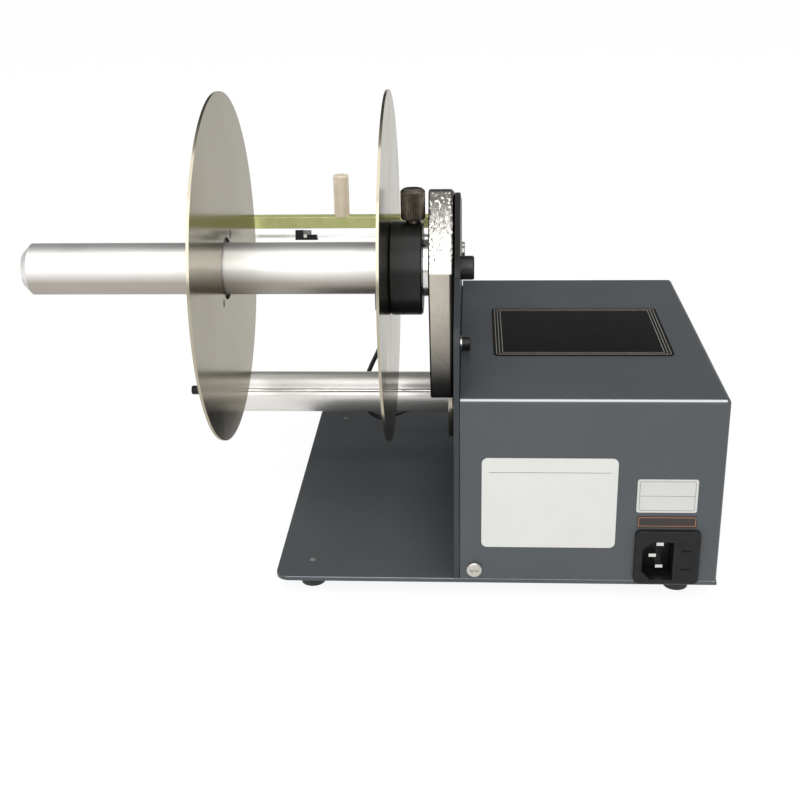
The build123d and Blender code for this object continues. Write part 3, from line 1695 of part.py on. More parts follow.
# Mains switch
rocker_y = front_y
rocker_half = switch_height / 2 - rocker_gap - switch_frame_face
rocker_width = switch_width - 2 * switch_frame_face - 2 * rocker_gap
pocket_width = switch_width - 2 * switch_frame_face
pocket_height = switch_height - 2 * switch_frame_face
with BuildPart() as switch_body:
    with BuildSketch(front_plane):
        with Locations((switch_x, switch_z)):
            switch_frame = Rectangle(
                switch_width + 2 * switch_frame_margin, switch_height + 2 * switch_frame_margin
            )
        fillet(switch_frame.vertices(), 1.5)
    extrude(amount=-switch_frame_face)
    with BuildSketch(front_plane):
        with Locations((switch_x, switch_z)):
            Rectangle(switch_width, switch_height)
    extrude(amount=switch_body_depth)
    with BuildSketch(front_plane.offset(-switch_frame_face)):
        with Locations((switch_x, switch_z)):
            Rectangle(pocket_width, pocket_height)
    extrude(amount=rocker_pocket, mode=Mode.SUBTRACT)
    with Locations(Location((switch_x, rocker_y, switch_z), (0, 90, 0))):
        Cylinder(
            rocker_pivot_radius + running_gap,
            pocket_width + 2 * rocker_pivot_stub,
            mode=Mode.SUBTRACT,
        )

with BuildPart() as switch_rocker:
    with BuildSketch(side_plane(switch_x - rocker_width / 2)):
        with BuildLine():
            Polyline(
                (rocker_y - rocker_thickness / 2, switch_z - rocker_half),
                (rocker_y + rocker_face_rise, switch_z - rocker_half),
                (rocker_y + rocker_face_rise / 2, switch_z),
                (rocker_y + rocker_face_rise, switch_z + rocker_half),
                (rocker_y - rocker_thickness / 2, switch_z + rocker_half),
                (rocker_y - rocker_thickness, switch_z),
                close=True,
            )
        rocker_face = make_face()
    extrude(amount=rocker_width)
    with Locations(Location((switch_x, rocker_y, switch_z), (0, 90, 0))):
        Cylinder(
            rocker_pivot_radius,
            pocket_width + 2 * rocker_pivot_stub - 2 * running_gap,
        )

# Speed control
dial_inner_y = front_y - cover_thickness
dial_base_y = front_y + dial_lift
with BuildPart() as potentiometer:
    with Locations(facing_back(dial_x, dial_inner_y, dial_z)):
        Cylinder(
            dial_body_radius, dial_body_depth, align=(Align.CENTER, Align.CENTER, Align.MIN)
        )
    with Locations(at(dial_x, dial_inner_y, dial_z - dial_body_radius)):
        Box(
            dial_body_radius * 1.5,
            dial_body_depth / 2,
            dial_body_radius,
            align=(Align.CENTER, Align.MAX, Align.CENTER),
        )
    with Locations(facing_back(dial_x, dial_inner_y, dial_z)):
        Cylinder(
            dial_stem_radius + running_gap,
            dial_body_depth,
            align=(Align.CENTER, Align.CENTER, Align.MIN),
            mode=Mode.SUBTRACT,
        )

with BuildPart() as speed_knob:
    with BuildSketch(front_plane.offset(front_y - dial_base_y)):
        with Locations((dial_x, dial_z)):
            Circle(dial_radius)
            with PolarLocations(dial_radius, 12):
                Circle(0.9, mode=Mode.SUBTRACT)
    extrude(amount=-dial_height)
    with BuildSketch(front_plane.offset(front_y - dial_base_y - dial_height)):
        with Locations((dial_x, dial_z + dial_radius * 0.55)):
            Rectangle(1.2, dial_radius * 0.6)
    extrude(amount=0.8, mode=Mode.SUBTRACT)
    with Locations(facing_back(dial_x, dial_base_y, dial_z)):
        Cylinder(
            dial_stem_radius,
            dial_lift + cover_thickness + dial_body_depth - 1,
            align=(Align.CENTER, Align.CENTER, Align.MIN),
        )

base_plate.part.label = "base_plate"
export_step(base_plate.part, "parts/base_plate.step")
rubber_feet.part.label = "rubber_feet"
export_step(rubber_feet.part, "parts/rubber_feet.step")
foot_screws.part.label = "foot_screws"
export_step(foot_screws.part, "parts/foot_screws.step")
base_screws.part.label = "base_screws"
export_step(base_screws.part, "parts/base_screws.step")
side_plate.part.label = "side_plate"
export_step(side_plate.part, "parts/side_plate.step")
cover.part.label = "cover"
export_step(cover.part, "parts/cover.step")
cover_screws.part.label = "cover_screws"
export_step(cover_screws.part, "parts/cover_screws.step")
inlet_body.part.label = "inlet_body"
export_step(inlet_body.part, "parts/inlet_body.step")
inlet_pins.part.label = "inlet_pins"
export_step(inlet_pins.part, "parts/inlet_pins.step")
fuse_drawer.part.label = "fuse_drawer"
export_step(fuse_drawer.part, "parts/fuse_drawer.step")
reel_arm.part.label = "reel_arm"
export_step(reel_arm.part, "parts/reel_arm.step")
arm_washer.part.label = "arm_washer"
export_step(arm_washer.part, "parts/arm_washer.step")
arm_bolt.part.label = "arm_bolt"
export_step(arm_bolt.part, "parts/arm_bolt.step")
spindle_bolt.part.label = "spindle_bolt"
export_step(spindle_bolt.part, "parts/spindle_bolt.step")
reel_axle.part.label = "reel_axle"
export_step(reel_axle.part, "parts/reel_axle.step")
brake_washer.part.label = "brake_washer"
export_step(brake_washer.part, "parts/brake_washer.step")
reel_bearings.part.label = "reel_bearings"
export_step(reel_bearings.part, "parts/reel_bearings.step")
reel_spindle.part.label = "reel_spindle"
export_step(reel_spindle.part, "parts/reel_spindle.step")
inner_hub.part.label = "inner_hub"
export_step(inner_hub.part, "parts/inner_hub.step")
inner_disc.part.label = "inner_disc"
export_step(inner_disc.part, "parts/inner_disc.step")
inner_disc_screws.part.label = "inner_disc_screws"
export_step(inner_disc_screws.part, "parts/inner_disc_screws.step")
inner_thumbscrew.part.label = "inner_thumbscrew"
export_step(inner_thumbscrew.part, "parts/inner_thumbscrew.step")
outer_hub.part.label = "outer_hub"
export_step(outer_hub.part, "parts/outer_hub.step")
outer_disc.part.label = "outer_disc"
export_step(outer_disc.part, "parts/outer_disc.step")
outer_disc_screws.part.label = "outer_disc_screws"
export_step(outer_disc_screws.part, "parts/outer_disc_screws.step")
outer_thumbscrew.part.label = "outer_thumbscrew"
export_step(outer_thumbscrew.part, "parts/outer_thumbscrew.step")
peel_plate.part.label = "peel_plate"
export_step(peel_plate.part, "parts/peel_plate.step")
peel_screws.part.label = "peel_screws"
export_step(peel_screws.part, "parts/peel_screws.step")
press_bar.part.label = "press_bar"
export_step(press_bar.part, "parts/press_bar.step")
handle_pin.part.label = "handle_pin"
export_step(handle_pin.part, "parts/handle_pin.step")
label_guide.part.label = "label_guide"
export_step(label_guide.part, "parts/label_guide.step")
guide_screw.part.label = "guide_screw"
export_step(guide_screw.part, "parts/guide_screw.step")
sensor_bracket.part.label = "sensor_bracket"
export_step(sensor_bracket.part, "parts/sensor_bracket.step")
sensor_body.part.label = "sensor_body"
export_step(sensor_body.part, "parts/sensor_body.step")
sensor_screws.part.label = "sensor_screws"
export_step(sensor_screws.part, "parts/sensor_screws.step")
sensor_cable.part.label = "sensor_cable"
export_step(sensor_cable.part, "parts/sensor_cable.step")
cable_grommet.part.label = "cable_grommet"
export_step(cable_grommet.part, "parts/cable_grommet.step")
take_up_spindle.part.label = "take_up_spindle"
export_step(take_up_spindle.part, "parts/take_up_spindle.step")
take_up_flange.part.label = "take_up_flange"
export_step(take_up_flange.part, "parts/take_up_flange.step")
wire_clip.part.label = "wire_clip"
export_step(wire_clip.part, "parts/wire_clip.step")
clip_knob.part.label = "clip_knob"
export_step(clip_knob.part, "parts/clip_knob.step")
take_up_shaft.part.label = "take_up_shaft"
export_step(take_up_shaft.part, "parts/take_up_shaft.step")
bearing_housing.part.label = "bearing_housing"
export_step(bearing_housing.part, "parts/bearing_housing.step")
take_up_bearings.part.label = "take_up_bearings"
export_step(take_up_bearings.part, "parts/take_up_bearings.step")
shaft_pulley.part.label = "shaft_pulley"
export_step(shaft_pulley.part, "parts/shaft_pulley.step")
motor_pulley.part.label = "motor_pulley"
export_step(motor_pulley.part, "parts/motor_pulley.step")
drive_belt.part.label = "drive_belt"
export_step(drive_belt.part, "parts/drive_belt.step")
motor_shaft.part.label = "motor_shaft"
export_step(motor_shaft.part, "parts/motor_shaft.step")
gear_motor.part.label = "gear_motor"
export_step(gear_motor.part, "parts/gear_motor.step")
motor_bracket.part.label = "motor_bracket"
export_step(motor_bracket.part, "parts/motor_bracket.step")
drive_screws.part.label = "drive_screws"
export_step(drive_screws.part, "parts/drive_screws.step")
transformer_core.part.label = "transformer_core"
export_step(transformer_core.part, "parts/transformer_core.step")
transformer_coil.part.label = "transformer_coil"
export_step(transformer_coil.part, "parts/transformer_coil.step")
board_posts.part.label = "board_posts"
export_step(board_posts.part, "parts/board_posts.step")
circuit_board.part.label = "circuit_board"
export_step(circuit_board.part, "parts/circuit_board.step")
board_parts.part.label = "board_parts"
export_step(board_parts.part, "parts/board_parts.step")
switch_body.part.label = "switch_body"
export_step(switch_body.part, "parts/switch_body.step")
switch_rocker.part.label = "switch_rocker"
export_step(switch_rocker.part, "parts/switch_rocker.step")
potentiometer.part.label = "potentiometer"
export_step(potentiometer.part, "parts/potentiometer.step")
speed_knob.part.label = "speed_knob"
export_step(speed_knob.part, "parts/speed_knob.step")
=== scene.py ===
import math

import bmesh
import bpy
from mathutils import Matrix, Vector, noise


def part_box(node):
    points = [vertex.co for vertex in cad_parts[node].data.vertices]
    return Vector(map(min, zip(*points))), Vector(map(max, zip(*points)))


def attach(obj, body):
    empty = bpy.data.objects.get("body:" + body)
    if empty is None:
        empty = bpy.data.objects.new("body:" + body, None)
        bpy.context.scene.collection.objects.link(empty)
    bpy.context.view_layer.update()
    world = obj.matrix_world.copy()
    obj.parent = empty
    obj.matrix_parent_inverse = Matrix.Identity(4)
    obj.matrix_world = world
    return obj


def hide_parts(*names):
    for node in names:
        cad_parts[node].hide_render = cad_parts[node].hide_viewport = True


mm = 0.001
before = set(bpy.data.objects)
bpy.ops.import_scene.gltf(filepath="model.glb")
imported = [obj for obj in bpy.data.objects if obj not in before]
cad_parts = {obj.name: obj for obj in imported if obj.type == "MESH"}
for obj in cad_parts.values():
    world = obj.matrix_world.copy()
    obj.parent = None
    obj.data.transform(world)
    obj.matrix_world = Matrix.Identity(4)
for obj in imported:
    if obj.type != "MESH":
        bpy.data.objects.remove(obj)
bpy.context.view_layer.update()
print("frame loaded:", len(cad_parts), "nodes")

# where the drive box starts, in the row frame: its left edge, its back face and the base's top
boxLeft, boxBack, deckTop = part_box("cover")[0]


def place(x, y, z):
    # millimetres from the drive box's lower left back corner to the row frame
    return Vector((boxLeft + x * mm, boxBack + y * mm, deckTop + z * mm))


# camera, at the photograph's angle
cameraView = {
    "spot": (0.06062, -0.73173, 0.37712),
    "turn": (67.7185, 1.0582, 3.0410),
    "lens": 56.234,
    "sensor": 36.0,
    "near": 0.01,
    "far": 50,
}
cameraData = bpy.data.cameras.new("photoCamera")
cameraData.lens = cameraView["lens"]
cameraData.sensor_width = cameraView["sensor"]
cameraData.clip_start = cameraView["near"]
cameraData.clip_end = cameraView["far"]
photoCamera = bpy.data.objects.new("photoCamera", cameraData)
photoCamera.location = cameraView["spot"]
photoCamera.rotation_euler = [math.radians(angle) for angle in cameraView["turn"]]
bpy.context.scene.collection.objects.link(photoCamera)
bpy.context.scene.camera = photoCamera
bpy.context.scene.view_settings.view_transform = "Standard"
print("camera set")

# what all finishes share: ranges are (low, high) ends of a ramp, sizes are in millimetres
common = {
    "coatRoughness": 0.1,
    "noiseRoughness": 0.55,
    "bevelSamples": 6,
    "edgeTurn": (0.5, 0.995),
    "rimTurn": (0.3, 0.6),
    "patchShare": (0.42, 0.6),
    "smudgeSize": 45,
    "smudgeSpread": (0.88, 1.14),
}


def addNode(tree, kind, **values):
    # each value goes to the input of that name, or else to the node's own setting
    node = tree.nodes.new(kind)
    for name, value in values.items():
        if name in node.inputs:
            node.inputs[name].default_value = value
        else:
            setattr(node, name, value)
    return node


def stretchedCoords(tree, stretch):
    coords = addNode(tree, "ShaderNodeTexCoord")
    mapping = addNode(tree, "ShaderNodeMapping")
    mapping.inputs["Scale"].default_value = stretch
    tree.links.new(coords.outputs["Object"], mapping.inputs["Vector"])
    return mapping.outputs["Vector"]


def noiseOf(tree, size, stretch=(1, 1, 1), detail=4.0):
    # size is the grain's width in millimetres
    texture = addNode(
        tree, "ShaderNodeTexNoise", Scale=1000.0 / size, Detail=detail,
        Roughness=common["noiseRoughness"],
    )
    tree.links.new(stretchedCoords(tree, stretch), texture.inputs["Vector"])
    return texture.outputs["Fac"]


def rangeOf(tree, value, low, high, fromLow=0.3, fromHigh=0.7):
    # a ramp from low to high, flat outside the two ends; noise mostly lies in 0.3 to 0.7
    node = addNode(tree, "ShaderNodeMapRange")
    node.inputs["From Min"].default_value = fromLow
    node.inputs["From Max"].default_value = fromHigh
    node.inputs["To Min"].default_value = low
    node.inputs["To Max"].default_value = high
    tree.links.new(value, node.inputs["Value"])
    return node.outputs["Result"]


def mixColours(tree, factor, first, second):
    mix = addNode(tree, "ShaderNodeMix", data_type="RGBA")
    tree.links.new(factor, mix.inputs[0])
    for socket, colour in ((mix.inputs[6], first), (mix.inputs[7], second)):
        if isinstance(colour, tuple):
            socket.default_value = (*colour, 1)
        else:
            tree.links.new(colour, socket)
    return mix.outputs[2]


def normalAlong(tree, direction):
    # how far the surface's normal points along a fixed direction or another normal
    geometry = addNode(tree, "ShaderNodeNewGeometry")
    dot = addNode(tree, "ShaderNodeVectorMath", operation="DOT_PRODUCT")
    tree.links.new(geometry.outputs["Normal"], dot.inputs[0])
    if isinstance(direction, tuple):
        dot.inputs[1].default_value = direction
    else:
        tree.links.new(direction, dot.inputs[1])
    return dot.outputs["Value"]


def edgeMask(tree, width):
    # 1 on a convex or concave edge, 0 on the flat, from how far a rounded normal turns
    bevel = addNode(tree, "ShaderNodeBevel", samples=common["bevelSamples"], Radius=width * mm)
    return rangeOf(tree, normalAlong(tree, bevel.outputs["Normal"]), 1, 0, *common["edgeTurn"])


def facingMask(tree, direction, low, high):
    # 1 where the surface faces a direction of the row frame, 0 where it turns away from it
    return rangeOf(tree, normalAlong(tree, direction), 0, 1, low, high)


def rimMask(tree):
    # 1 on the rim and the bores of a disc that faces along X, 0 on its two faces
    across = addNode(tree, "ShaderNodeMath", operation="ABSOLUTE")
    tree.links.new(normalAlong(tree, (1, 0, 0)), across.inputs[0])
    return rangeOf(tree, across.outputs[0], 1, 0, *common["rimTurn"])


def heightFade(tree, low, high):
    # 1 at the first height, 0 at the second one, in millimetres from the bench
    coords = addNode(tree, "ShaderNodeTexCoord")
    split = addNode(tree, "ShaderNodeSeparateXYZ")
    tree.links.new(coords.outputs["Object"], split.inputs[0])
    return rangeOf(tree, split.outputs["Z"], 1, 0, low * mm, high * mm)


def multiplied(tree, first, second):
    product = addNode(tree, "ShaderNodeMath", operation="MULTIPLY")
    tree.links.new(first, product.inputs[0])
    tree.links.new(second, product.inputs[1])
    return product.outputs[0]


def makeFinish(name, finish):
    # colour: mottle, worn edges, painted light and shade by facing, rim, painted shade by height,
    # painted glints; then grain
    material = bpy.data.materials.new(name)
    material.use_nodes = True
    tree = material.node_tree
    shader = tree.nodes["Principled BSDF"]
    shader.inputs["Metallic"].default_value = finish.get("metallic", 0.0)
    shader.inputs["Specular IOR Level"].default_value = finish.get("specular", 0.5)
    shader.inputs["Coat Weight"].default_value = finish.get("coat", 0.0)
    shader.inputs["Coat Roughness"].default_value = common["coatRoughness"]
    shader.inputs["Specular Tint"].default_value = (*finish.get("glanceTint", (1, 1, 1)), 1)
    mottle = rangeOf(tree, noiseOf(tree, finish["mottleSize"]), 0, 1)
    colour = mixColours(tree, mottle, finish["colour"], finish["shade"])
    if "edgeColour" in finish:
        edges = edgeMask(tree, finish["edgeWidth"])
        patches = rangeOf(tree, noiseOf(tree, finish["edgePatch"]), 0, 1, *common["patchShare"])
        colour = mixColours(tree, multiplied(tree, edges, patches), colour, finish["edgeColour"])
    # painted light and shade by where the surface faces
    for facing in finish.get("paintedLightFacings", ()):
        mask = facingMask(tree, facing["direction"], *facing["turn"])
        colour = mixColours(tree, mask, colour, facing["colour"])
    if "rim" in finish:
        colour = mixColours(tree, rimMask(tree), colour, finish["rim"])
    # painted shade by height
    for fade in finish.get("paintedShadeFades", ()):
        mask = heightFade(tree, *fade["heights"])
        colour = mixColours(tree, mask, colour, fade["colour"])
    # painted glints on the faces that look one way
    if "paintedGlints" in finish:
        paintedGlints = finish["paintedGlints"]
        grains = rangeOf(tree, noiseOf(tree, paintedGlints["size"]), 0, 1, *paintedGlints["share"])
        facing = facingMask(tree, paintedGlints["direction"], *paintedGlints["turn"])
        colour = mixColours(tree, multiplied(tree, grains, facing), colour, paintedGlints["colour"])
    tree.links.new(colour, shader.inputs["Base Color"])
    low, high = finish["roughness"]
    grain = noiseOf(tree, finish["grainSize"], finish.get("grainStretch", (1, 1, 1)), detail=3)
    smudges = noiseOf(tree, common["smudgeSize"], detail=2)
    smudged = rangeOf(tree, smudges, *common["smudgeSpread"])
    spread = multiplied(tree, rangeOf(tree, grain, low, high), smudged)
    tree.links.new(spread, shader.inputs["Roughness"])
    bump = addNode(
        tree, "ShaderNodeBump", Strength=finish["bump"], Distance=finish["bumpDepth"] * mm
    )
    tree.links.new(grain, bump.inputs["Height"])
    tree.links.new(bump.outputs["Normal"], shader.inputs["Normal"])
    return material


# the arm's upper face, which looks up and towards the mains side; its dents lean along it, and it
# carries a painted highlight and painted glints
litHammeredFace = {"direction": (0, -0.866, 0.5), "turn": (0.72, 0.93)}

finishes = {
    "slatePaint": dict(
        colour=(0.068, 0.077, 0.084), shade=(0.078, 0.086, 0.093), roughness=(0.34, 0.50),
        grainSize=0.9, bump=0.4, bumpDepth=0.03, mottleSize=60, specular=0.32,
        edgeColour=(0.15, 0.16, 0.17), edgeWidth=0.8, edgePatch=9,
        # painted highlight: a pale line on the bends that face up and forward, where the front top
        # edges catch the softbox
        paintedLightFacings=[dict(
            direction=(0, -0.707, 0.707), turn=(0.955, 0.995), colour=(0.62, 0.64, 0.66),
        )],
    ),
    "sidePaint": dict(
        colour=(0.042, 0.047, 0.052), shade=(0.050, 0.055, 0.060), roughness=(0.34, 0.48),
        grainSize=0.9, bump=0.4, bumpDepth=0.03, mottleSize=60, specular=0.14,
        edgeColour=(0.12, 0.125, 0.13), edgeWidth=0.6, edgePatch=9,
        # painted shade: the ear above 174 mm turns near black, as its edge lies in shade beside
        # the arm
        paintedShadeFades=[dict(heights=(186, 174), colour=(0.013, 0.011, 0.0095))],
    ),
    "blackRubber": dict(
        colour=(0.012, 0.012, 0.012), shade=(0.022, 0.021, 0.02), roughness=(0.5, 0.75),
        grainSize=0.8, bump=0.4, bumpDepth=0.06, mottleSize=8,
    ),
    "zincScrew": dict(
        colour=(0.62, 0.60, 0.55), shade=(0.48, 0.46, 0.42), metallic=1.0,
        roughness=(0.22, 0.4), grainSize=0.7, bump=0.3, bumpDepth=0.03, mottleSize=3,
        edgeColour=(0.8, 0.78, 0.72), edgeWidth=0.25, edgePatch=2,
    ),
    "brightSteel": dict(
        colour=(0.72, 0.71, 0.69), shade=(0.62, 0.61, 0.59), metallic=1.0,
        roughness=(0.08, 0.2), grainSize=1.2, grainStretch=(0.1, 1, 1), bump=0.15,
        bumpDepth=0.02, mottleSize=5,
    ),
    "blackOxide": dict(
        colour=(0.02, 0.02, 0.022), shade=(0.035, 0.034, 0.033), metallic=0.4,
        roughness=(0.28, 0.45), grainSize=0.6, bump=0.3, bumpDepth=0.03, mottleSize=4,
        edgeColour=(0.12, 0.115, 0.11), edgeWidth=0.3, edgePatch=3,
    ),
    "blastedAluminium": dict(
        colour=(0.90, 0.885, 0.86), shade=(0.84, 0.825, 0.80), metallic=0.84,
        roughness=(0.32, 0.42), grainSize=0.6, bump=0.65, bumpDepth=0.05, mottleSize=14,
        edgeColour=(0.95, 0.94, 0.91), edgeWidth=0.5, edgePatch=4,
        glanceTint=(0.8, 0.79, 0.77),
        # painted reflection: faces that look down and forward turn darker, as if they mirrored a
        # dark floor
        paintedLightFacings=[dict(
            direction=(0, -0.5, -0.866), turn=(0.40, 0.74), colour=(0.42, 0.385, 0.345),
        )],
        # plain pale colour covers that painted reflection again, fading in from 120 mm and full
        # below 80 mm, so the take-up tube and the pulleys have none
        paintedShadeFades=[dict(heights=(80, 120), colour=(0.82, 0.80, 0.77))],
    ),
    "brushedSheet": dict(
        colour=(0.40, 0.385, 0.33), shade=(0.375, 0.36, 0.31), metallic=1.0,
        roughness=(0.13, 0.20), grainSize=0.5, grainStretch=(1, 1, 0.02), bump=0.18,
        bumpDepth=0.008, mottleSize=50, rim=(0.44, 0.40, 0.31), glanceTint=(0.68, 0.66, 0.615),
    ),
    "blackAnodised": dict(
        colour=(0.007, 0.007, 0.0065), shade=(0.011, 0.0105, 0.0095),
        roughness=(0.24, 0.33), grainSize=0.6, grainStretch=(1, 0.15, 0.15), bump=0.25,
        bumpDepth=0.02, mottleSize=12, specular=0.32,
        edgeColour=(0.05, 0.048, 0.045), edgeWidth=0.4, edgePatch=4,
    ),
    "bronzeBlack": dict(
        colour=(0.16, 0.133, 0.102), shade=(0.06, 0.05, 0.04), metallic=0.8,
        roughness=(0.26, 0.42), grainSize=0.6, bump=0.3, bumpDepth=0.03, mottleSize=3,
        edgeColour=(0.55, 0.5, 0.42), edgeWidth=0.3, edgePatch=2,
    ),
    "yellowZinc": dict(
        colour=(0.69, 0.69, 0.32), shade=(0.58, 0.60, 0.24), metallic=0.35,
        roughness=(0.32, 0.48), grainSize=0.9, grainStretch=(0.4, 1, 1), bump=0.35,
        bumpDepth=0.03, mottleSize=7,
        edgeColour=(0.9, 0.88, 0.68), edgeWidth=0.4, edgePatch=3,
    ),
    "champagne": dict(
        colour=(0.98, 0.85, 0.67), shade=(0.92, 0.79, 0.61), metallic=0.08,
        roughness=(0.26, 0.40), grainSize=0.5, grainStretch=(1, 1, 0.25), bump=0.3,
        bumpDepth=0.02, mottleSize=6,
    ),
    "stainless": dict(
        colour=(0.66, 0.66, 0.65), shade=(0.58, 0.58, 0.57), metallic=1.0,
        roughness=(0.18, 0.32), grainSize=0.5, grainStretch=(0.03, 1, 1), bump=0.25,
        bumpDepth=0.012, mottleSize=20,
        edgeColour=(0.05, 0.05, 0.05), edgeWidth=0.3, edgePatch=40,
    ),
    "blackPlastic": dict(
        colour=(0.009, 0.009, 0.0095), shade=(0.014, 0.014, 0.014), roughness=(0.36, 0.5),
        grainSize=0.5, bump=0.35, bumpDepth=0.03, mottleSize=6, specular=0.22,
    ),
    "greyPlastic": dict(
        colour=(0.12, 0.125, 0.13), shade=(0.15, 0.155, 0.16), roughness=(0.35, 0.5),
        grainSize=0.6, bump=0.3, bumpDepth=0.03, mottleSize=10,
    ),
    "greyFelt": dict(
        colour=(0.2, 0.19, 0.17), shade=(0.28, 0.27, 0.24), roughness=(0.8, 0.95),
        grainSize=0.4, bump=0.8, bumpDepth=0.2, mottleSize=1.5,
    ),
    "castPlated": dict(
        colour=(0.56, 0.515, 0.44), shade=(0.52, 0.48, 0.41), metallic=1.0,
        roughness=(0.15, 0.24), grainSize=0.8, grainStretch=(1, 1, 0.1), bump=0.06,
        bumpDepth=0.02, mottleSize=16,
        # painted highlight: the upper face, which looks towards the softbox, is much paler than
        # the rest
        paintedLightFacings=[dict(litHammeredFace, colour=(0.80, 0.79, 0.74))],
        # painted reflection: the arm turns dark towards its lower end, as if it mirrored the dark
        # base, and darker towards its top edge
        paintedShadeFades=[
            dict(heights=(102, 156), colour=(0.075, 0.075, 0.071)),
            dict(heights=(214, 182), colour=(0.10, 0.096, 0.086)),
        ],
        # painted glints: bright flecks on the upper face, standing in for highlights on the dents
        paintedGlints=dict(litHammeredFace, size=1.7, share=(0.56, 0.63), colour=(0.72, 0.71, 0.66)),
    ),
    "turnedSteel": dict(
        colour=(0.5, 0.5, 0.49), shade=(0.42, 0.42, 0.41), metallic=1.0,
        roughness=(0.25, 0.4), grainSize=0.7, bump=0.3, bumpDepth=0.02, mottleSize=10,
    ),
    "castGrey": dict(
        colour=(0.16, 0.165, 0.17), shade=(0.12, 0.125, 0.13), metallic=0.6,
        roughness=(0.45, 0.65), grainSize=1.2, bump=0.6, bumpDepth=0.15, mottleSize=8,
    ),
    "beltRubber": dict(
        colour=(0.015, 0.015, 0.015), shade=(0.03, 0.029, 0.028), roughness=(0.6, 0.8),
        grainSize=0.9, bump=0.5, bumpDepth=0.1, mottleSize=5,
    ),
    "greenBoard": dict(
        colour=(0.02, 0.12, 0.05), shade=(0.03, 0.16, 0.07), roughness=(0.25, 0.4),
        grainSize=1.5, bump=0.3, bumpDepth=0.03, mottleSize=6,
    ),
    "copperCoil": dict(
        colour=(0.55, 0.22, 0.09), shade=(0.4, 0.15, 0.06), metallic=0.7,
        roughness=(0.3, 0.5), grainSize=0.8, grainStretch=(0.1, 0.1, 1), bump=0.7,
        bumpDepth=0.3, mottleSize=4,
    ),
    "coreSteel": dict(
        colour=(0.22, 0.22, 0.22), shade=(0.16, 0.16, 0.16), metallic=0.8,
        roughness=(0.35, 0.55), grainSize=0.5, grainStretch=(1, 0.02, 0.02), bump=0.6,
        bumpDepth=0.1, mottleSize=10,
    ),
}
materials = {name: makeFinish(name, finish) for name, finish in finishes.items()}

nodeFinishes = {
    "base_plate": "slatePaint", "cover": "slatePaint", "side_plate": "sidePaint",
    "rubber_feet": "blackRubber", "foot_screws": "zincScrew", "base_screws": "zincScrew",
    "cover_screws": "zincScrew", "inlet_body": "blackPlastic", "inlet_pins": "brightSteel",
    "fuse_drawer": "blackPlastic", "reel_arm": "brightSteel", "arm_washer": "brightSteel",
    "arm_bolt": "blackOxide", "spindle_bolt": "blackOxide", "reel_axle": "brightSteel",
    "brake_washer": "greyFelt", "reel_bearings": "turnedSteel",
    "reel_spindle": "blastedAluminium", "inner_hub": "blackAnodised",
    "inner_disc": "brushedSheet", "inner_disc_screws": "blackOxide",
    "inner_thumbscrew": "bronzeBlack", "outer_hub": "blackAnodised",
    "outer_disc": "brushedSheet", "outer_disc_screws": "blackOxide",
    "outer_thumbscrew": "bronzeBlack", "peel_plate": "stainless", "peel_screws": "zincScrew",
    "press_bar": "yellowZinc", "handle_pin": "champagne", "label_guide": "blackPlastic",
    "guide_screw": "zincScrew", "sensor_bracket": "stainless", "sensor_body": "greyPlastic",
    "sensor_screws": "zincScrew", "sensor_cable": "blackRubber",
    "cable_grommet": "blackRubber", "take_up_spindle": "blastedAluminium",
    "take_up_flange": "brushedSheet", "wire_clip": "brightSteel", "clip_knob": "blackPlastic",
    "take_up_shaft": "turnedSteel", "bearing_housing": "castGrey",
    "take_up_bearings": "turnedSteel", "shaft_pulley": "blastedAluminium",
    "motor_pulley": "blastedAluminium", "drive_belt": "beltRubber",
    "motor_shaft": "turnedSteel", "gear_motor": "turnedSteel", "motor_bracket": "turnedSteel",
    "drive_screws": "zincScrew", "transformer_core": "coreSteel",
    "transformer_coil": "copperCoil", "board_posts": "greyPlastic",
    "circuit_board": "greenBoard", "board_parts": "blackPlastic",
    "switch_body": "blackPlastic", "switch_rocker": "blackPlastic",
    "potentiometer": "turnedSteel", "speed_knob": "blackPlastic",
}
for nodeName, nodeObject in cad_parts.items():
    nodeObject.data.materials.clear()
    nodeObject.data.materials.append(materials[nodeFinishes[nodeName]])
print("finishes on", len(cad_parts), "nodes")


sharpAngle = 35
weldDistance = 1e-7


def makePiece(name, bm, finish, body, smooth=True):
    # turns a finished bmesh into an object that rides on a body
    mesh = bpy.data.meshes.new(name)
    bm.normal_update()
    bm.to_mesh(mesh)
    bm.free()
    piece = bpy.data.objects.new(name, mesh)
    bpy.context.scene.collection.objects.link(piece)
    piece.data.materials.append(materials[finish])
    if smooth:
        mesh.shade_smooth()
        mesh.set_sharp_from_angle(angle=math.radians(sharpAngle))
    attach(piece, body)
    return piece


def turnedMesh(profile, steps, axisMatrix, flutes):
    # profile: (radius, height) in millimetres up the local Z axis, fluted between two heights
    bm = bmesh.new()
    rings = []
    for radius, height in profile:
        ring = []
        for step in range(steps):
            angle = 2 * math.pi * step / steps
            reach = radius
            if flutes["low"] <= height <= flutes["high"]:
                wave = math.cos(angle * flutes["count"])
                reach -= flutes["depth"] * (0.5 - 0.5 * wave)
            spot = (reach * math.cos(angle) * mm, reach * math.sin(angle) * mm, height * mm)
            ring.append(bm.verts.new(spot))
        rings.append(ring)
    for low, high in zip(rings, rings[1:]):
        for step in range(steps):
            after = (step + 1) % steps
            bm.faces.new((low[step], low[after], high[after], high[step]))
    bmesh.ops.remove_doubles(bm, verts=bm.verts, dist=weldDistance)
    bmesh.ops.transform(bm, matrix=axisMatrix, verts=bm.verts)
    bmesh.ops.recalc_face_normals(bm, faces=bm.faces)
    return bm


